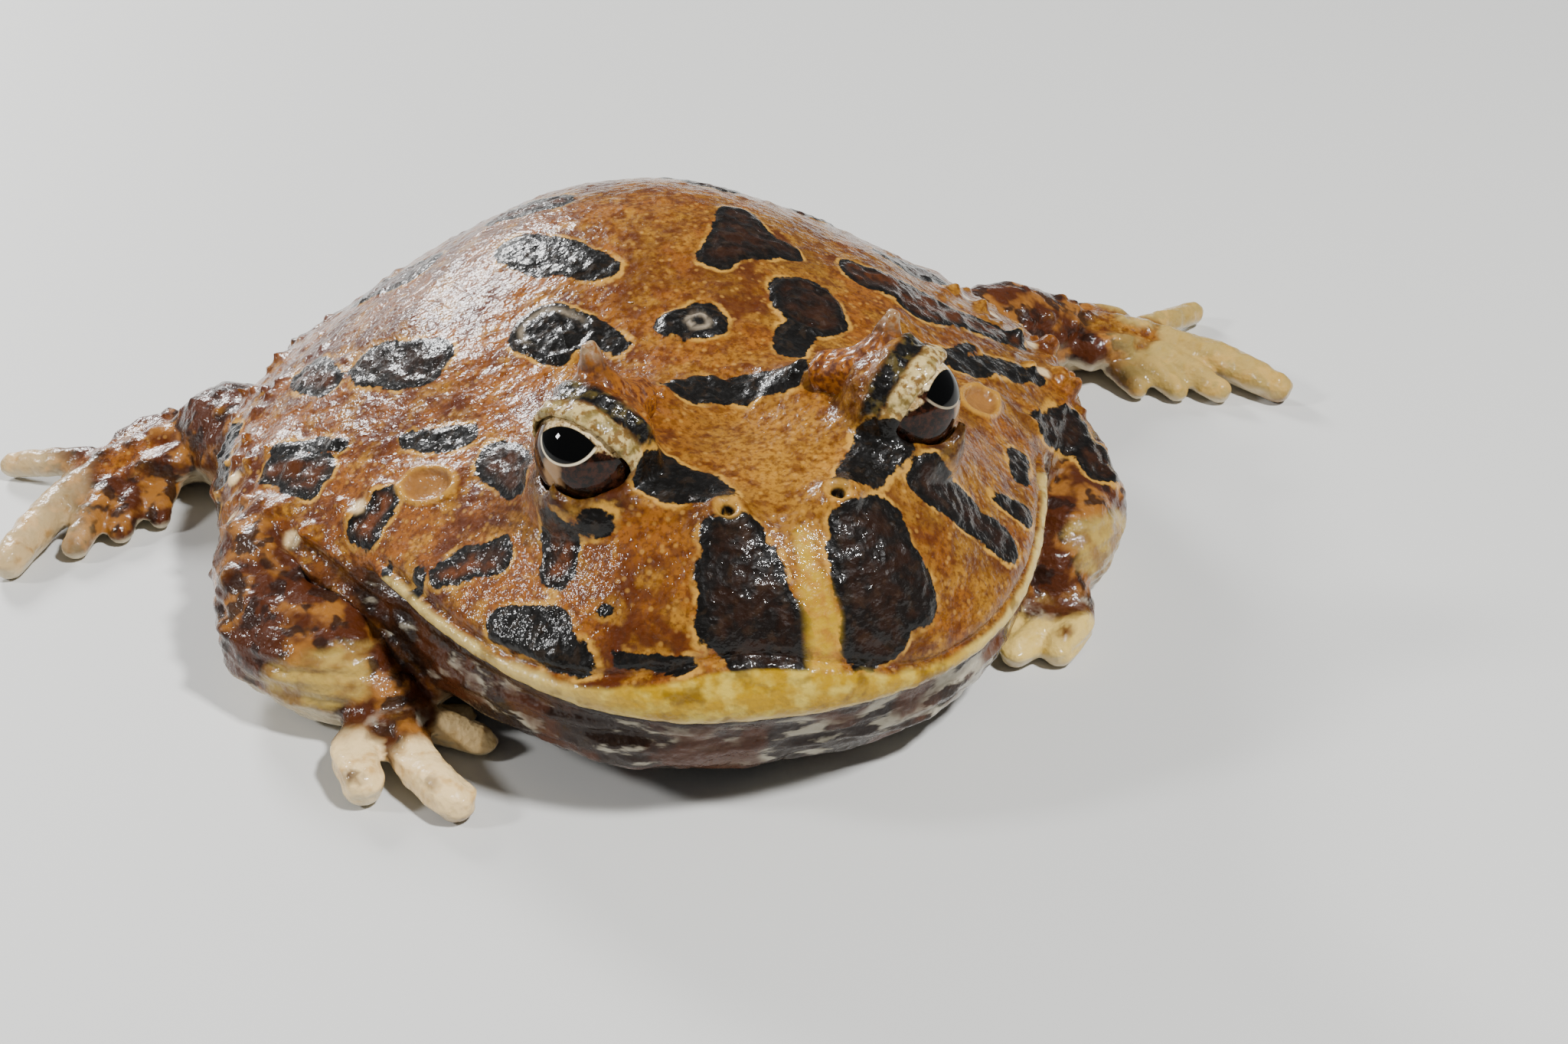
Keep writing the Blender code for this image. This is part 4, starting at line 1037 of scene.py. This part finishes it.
def with_blotches(g, colour, fine):
    """A pale outline round near-black ink, whose middle is umber in some blotches."""
    edge = g.math("ADD", g.attribute("blotch"), g.step(fine, 0.3, 0.7, -0.32, 0.0))
    halo = g.math("MULTIPLY", g.step(edge, 0.75, 0.25), g.patches(3.4, 0.42, 0.60, 0.0, 0.75))
    colour = g.mix(halo, colour, OUTLINE)
    ink = g.mix(g.patches(1.3, 0.52, 0.66, 0.0, 0.35), INK, INK_BROWN)
    middle = g.math("MULTIPLY", g.attribute("blotch_middle"), g.patches(2.0, 0.4, 0.6, 0.2, 1.0))
    ink = g.mix(middle, ink, UMBER)
    covered = g.math("SUBTRACT", 1.0, g.math("MULTIPLY", g.attribute("belly"), 0.6))
    return g.mix(g.math("MULTIPLY", g.step(edge, 0.12, -0.12), covered), colour, ink)


def with_small_marks(g, colour):
    """Brown eardrums, nostrils with pale rims and painted shade inside, pale wart tips and pale lines in the
    rings.
    """
    drum = g.attribute("eardrum")
    colour = g.mix(g.step(drum, 1.3, 1.12, 0.0, 0.5), colour, OUTLINE)
    colour = g.mix(g.step(drum, 1.0, 0.8, 0.0, 0.6), colour, DRUM_BROWN)
    nostril = g.attribute("nostril")
    colour = g.mix(g.step(nostril, 2.0, 1.4, 0.0, 0.55), colour, OUTLINE)
    # Painted shade: the nostril pits are filled with near-black.
    colour = g.mix(g.step(nostril, 0.95, 0.6), colour, INK)
    colour = g.mix(g.step(g.attribute("wart_tip"), 0.15, 0.7), colour, WART_CREAM)
    return g.mix(g.math("MULTIPLY", g.attribute("ring_line"), 0.75), colour, RING_GREY)


def with_snout(g, colour):
    """The golden stripe down the snout and the yellow band of the upper lip."""
    stripe = g.mix(g.patches(1.6, 0.4, 0.65), STRIPE_YELLOW, GOLDEN)
    colour = g.mix(g.step(g.attribute("stripe"), 0.9, -0.6, 0.0, 0.85), colour, stripe)
    lip = g.mix(g.patches(2.6, 0.42, 0.66), LIP_YELLOW, LIP_PALE)
    lip = g.mix(g.step(g.attribute("lip_rise"), 0.3, 0.05, 0.0, 0.6), lip, LIP_EDGE)
    lip = g.mix(g.math("MULTIPLY", g.attribute("lip_side"), 0.7), lip, LIP_CORNER)
    lip = g.mix(g.patches(3.6, 0.56, 0.68, 0.0, 0.7), lip, LIP_SPOT)
    return g.mix(g.step(g.attribute("lip"), 0.25, -0.25), colour, lip)


def skin_material():
    """Fine pebbles and pores, coloured by their place, under a clear wet film with its own ripples."""
    g = Graph("wet_blotched_skin")
    fine = g.grain(0.8)
    broad = g.grain(7.0)
    colour = with_limbs(g, ground_colour(g, fine, broad))
    belly = g.mix(g.step(broad, 0.5, 0.7), BELLY, BELLY_TAN)
    colour = g.mix(g.attribute("belly"), colour, belly)
    colour = with_lids(g, with_jaw(g, colour))
    colour = with_small_marks(g, with_blotches(g, colour, fine))
    colour = with_snout(g, colour)
    coarse = g.relief(g.grain(1.5), 0.45, 0.5)
    pebbled = g.relief(g.pebbles(0.7), 0.16, 0.6, coarse)
    pores = g.relief(g.grain(0.3, 2.0), 0.07, 0.6, pebbled)
    ripples = g.relief(g.grain(1.1), 0.42, 0.65)
    film = g.relief(g.pebbles(0.55), 0.07, 0.5, ripples)
    return g.finish(
        Base_Color=colour,
        Roughness=g.step(fine, 0.3, 0.7, 0.35, 0.6),
        Normal=pores,
        Coat_Normal=film,
        Coat_Weight=0.9,
        Coat_Roughness=0.05,
        Coat_IOR=1.3,
        Specular_IOR_Level=0.12,
    )


def horn_material():
    """Orange-brown with a darker spike, a pale knob end and a painted highlight at the spike's tip."""
    g = Graph("wet_horn_skin")
    fine = g.grain(0.7)
    height = g.math("ADD", g.attribute("height"), g.patches(2.0, 0.3, 0.7, -0.15, 0.15))
    colour = g.mix(g.step(fine, 0.4, 0.65), HORN_ORANGE, HORN_BROWN)
    colour = g.mix(g.step(height, 0.45, 0.75, 0.0, 0.5), colour, HORN_DARK)
    # Pale at the knob's end, and a painted highlight at the spike's tip.
    ends = g.math("MULTIPLY", g.attribute("pale_knob_and_tip_glint"), g.step(fine, 0.36, 0.6, 0.1, 1.0))
    colour = g.mix(g.math("MULTIPLY", ends, 0.8), colour, HORN_PALE)
    coarse = g.relief(g.grain(0.9, 2.0), 0.3, 0.5)
    return g.finish(
        Base_Color=colour,
        Roughness=g.step(fine, 0.3, 0.7, 0.3, 0.5),
        Normal=g.relief(g.pebbles(0.6), 0.12, 0.5, coarse),
        Coat_Weight=0.8,
        Coat_Roughness=0.08,
        Coat_IOR=1.3,
        Specular_IOR_Level=0.15,
    )


def circle_gap(g, across, up, centre, radius):
    """Distance outside a circle on the iris, less than 0 inside it."""
    side = g.math("SUBTRACT", across, centre[0])
    rise = g.math("SUBTRACT", up, centre[1])
    far = g.math("SQRT", g.math("ADD", g.math("MULTIPLY", side, side), g.math("MULTIPLY", rise, rise)))
    return g.math("SUBTRACT", far, radius)


def eye_material(rim_shows):
    """An almond pupil with a pale rim below it, a cream iris above and a brown one below, and painted shade
    on the iris's upper back.
    """
    g = Graph("wet_frog_eye")
    across, up, out = g.attribute("snoutward"), g.attribute("upward"), g.attribute("outward")
    top = circle_gap(g, across, up, (0.0, -0.62), 0.86)
    bottom = circle_gap(g, across, up, (0.0, 0.13), 0.55)
    pupil = g.math("MAXIMUM", top, bottom)
    speckle = g.grain(0.3)
    veins = g.grain(0.9, 5.0, roughness=0.7)
    pale = g.mix(g.step(veins, 0.40, 0.62), IRIS_CREAM, IRIS_TAN)
    pale = g.mix(g.step(speckle, 0.54, 0.68, 0.0, 0.85), pale, IRIS_SPECKLE)
    brown = g.mix(g.step(veins, 0.42, 0.62), IRIS_BLACK, IRIS_BROWN)
    height = g.math("ADD", up, g.step(g.grain(1.5, 4.0), 0.3, 0.7, -0.12, 0.12))
    iris = g.mix(g.step(height, 0.0, 0.10), brown, pale)
    patch = circle_gap(g, across, height, (-0.20, -0.66), 0.22)
    iris = g.mix(g.step(patch, 0.08, -0.10, 0.0, 0.8), iris, IRIS_PATCH)
    # Painted shade of the upper lid over the upper back of the iris.
    behind = g.math("MULTIPLY", g.step(across, -0.44, -0.58), g.step(up, 0.34, 0.18))
    iris = g.mix(behind, iris, IRIS_SHADE)
    rim = g.math("MULTIPLY", g.step(pupil, 0.048, 0.028, 0.0, rim_shows), g.step(up, 0.05, -0.08))
    iris = g.mix(rim, iris, PUPIL_RIM)
    iris = g.mix(g.step(pupil, 0.010, -0.010), iris, PUPIL_BLACK)
    colour = g.mix(g.step(out, 0.0, -0.1), iris, EYEBALL_BACK)
    return g.finish(
        Base_Color=colour,
        Roughness=0.4,
        Normal=g.relief(speckle, 0.06, 0.3),
        Coat_Weight=1.0,
        Coat_Roughness=0.01,
        Coat_IOR=1.33,
        Specular_IOR_Level=0.0,
    )


def make_floor():
    bpy.ops.object.select_all(action="DESELECT")
    bpy.ops.mesh.primitive_plane_add(size=4.0, location=(0, 0, -0.02 * MM))
    floor = bpy.context.object
    floor.name = "floor"
    floor.data.materials.append(Graph("pale_floor").finish(Base_Color=(*FLOOR_GREY, 1.0), Roughness=0.6))


def make_light(name, place, power, size):
    """A soft square light at a place in metres, aimed at the middle of the frog."""
    light = bpy.data.lights.new(name, "AREA")
    light.energy = power
    light.size = size
    holder = bpy.data.objects.new(name, light)
    bpy.context.scene.collection.objects.link(holder)
    holder.location = place
    holder.rotation_euler = (Vector((0, 0, 0.02)) - Vector(place)).to_track_quat("-Z", "Y").to_euler()


def light_studio():
    make_light("window_light", (-0.22, 0.72, 0.40), 7.0, 0.20)
    make_light("key_light", (0.30, -0.42, 0.80), 14.0, 0.10)
    make_light("side_light", (-0.75, 0.08, 0.50), 5.0, 0.12)
    world = bpy.data.worlds.new("studio")
    world.use_nodes = True
    background = world.node_tree.nodes["Background"]
    background.inputs["Color"].default_value = (*SKY, 1.0)
    background.inputs["Strength"].default_value = 0.16
    bpy.context.scene.world = world


def make_camera():
    """The photograph's view: from the frog's right and above, close to it."""
    turn, rise, distance, field = math.radians(-17.2), math.radians(31.4), 286.5, math.radians(38.0)
    target = Vector((14.5, 0.0, 1.0)) * MM
    back = Vector((math.sin(turn) * math.cos(rise), -math.cos(turn) * math.cos(rise), math.sin(rise)))
    lens = bpy.data.cameras.new("camera")
    lens.sensor_width = 36.0
    lens.lens = lens.sensor_width / 2 / math.tan(field / 2)
    lens.clip_start = 0.005
    camera = bpy.data.objects.new("camera", lens)
    bpy.context.scene.collection.objects.link(camera)
    camera.location = target + back * distance * MM
    camera.rotation_euler = (-back).to_track_quat("-Z", "Y").to_euler()
    bpy.context.scene.camera = camera


def corners(box):
    return [list(corner) for corner in box]


make_skin()
for label, side in SIDES.items():
    make_horn(label, side)
    make_eye(label, side)
make_floor()
light_studio()
make_camera()
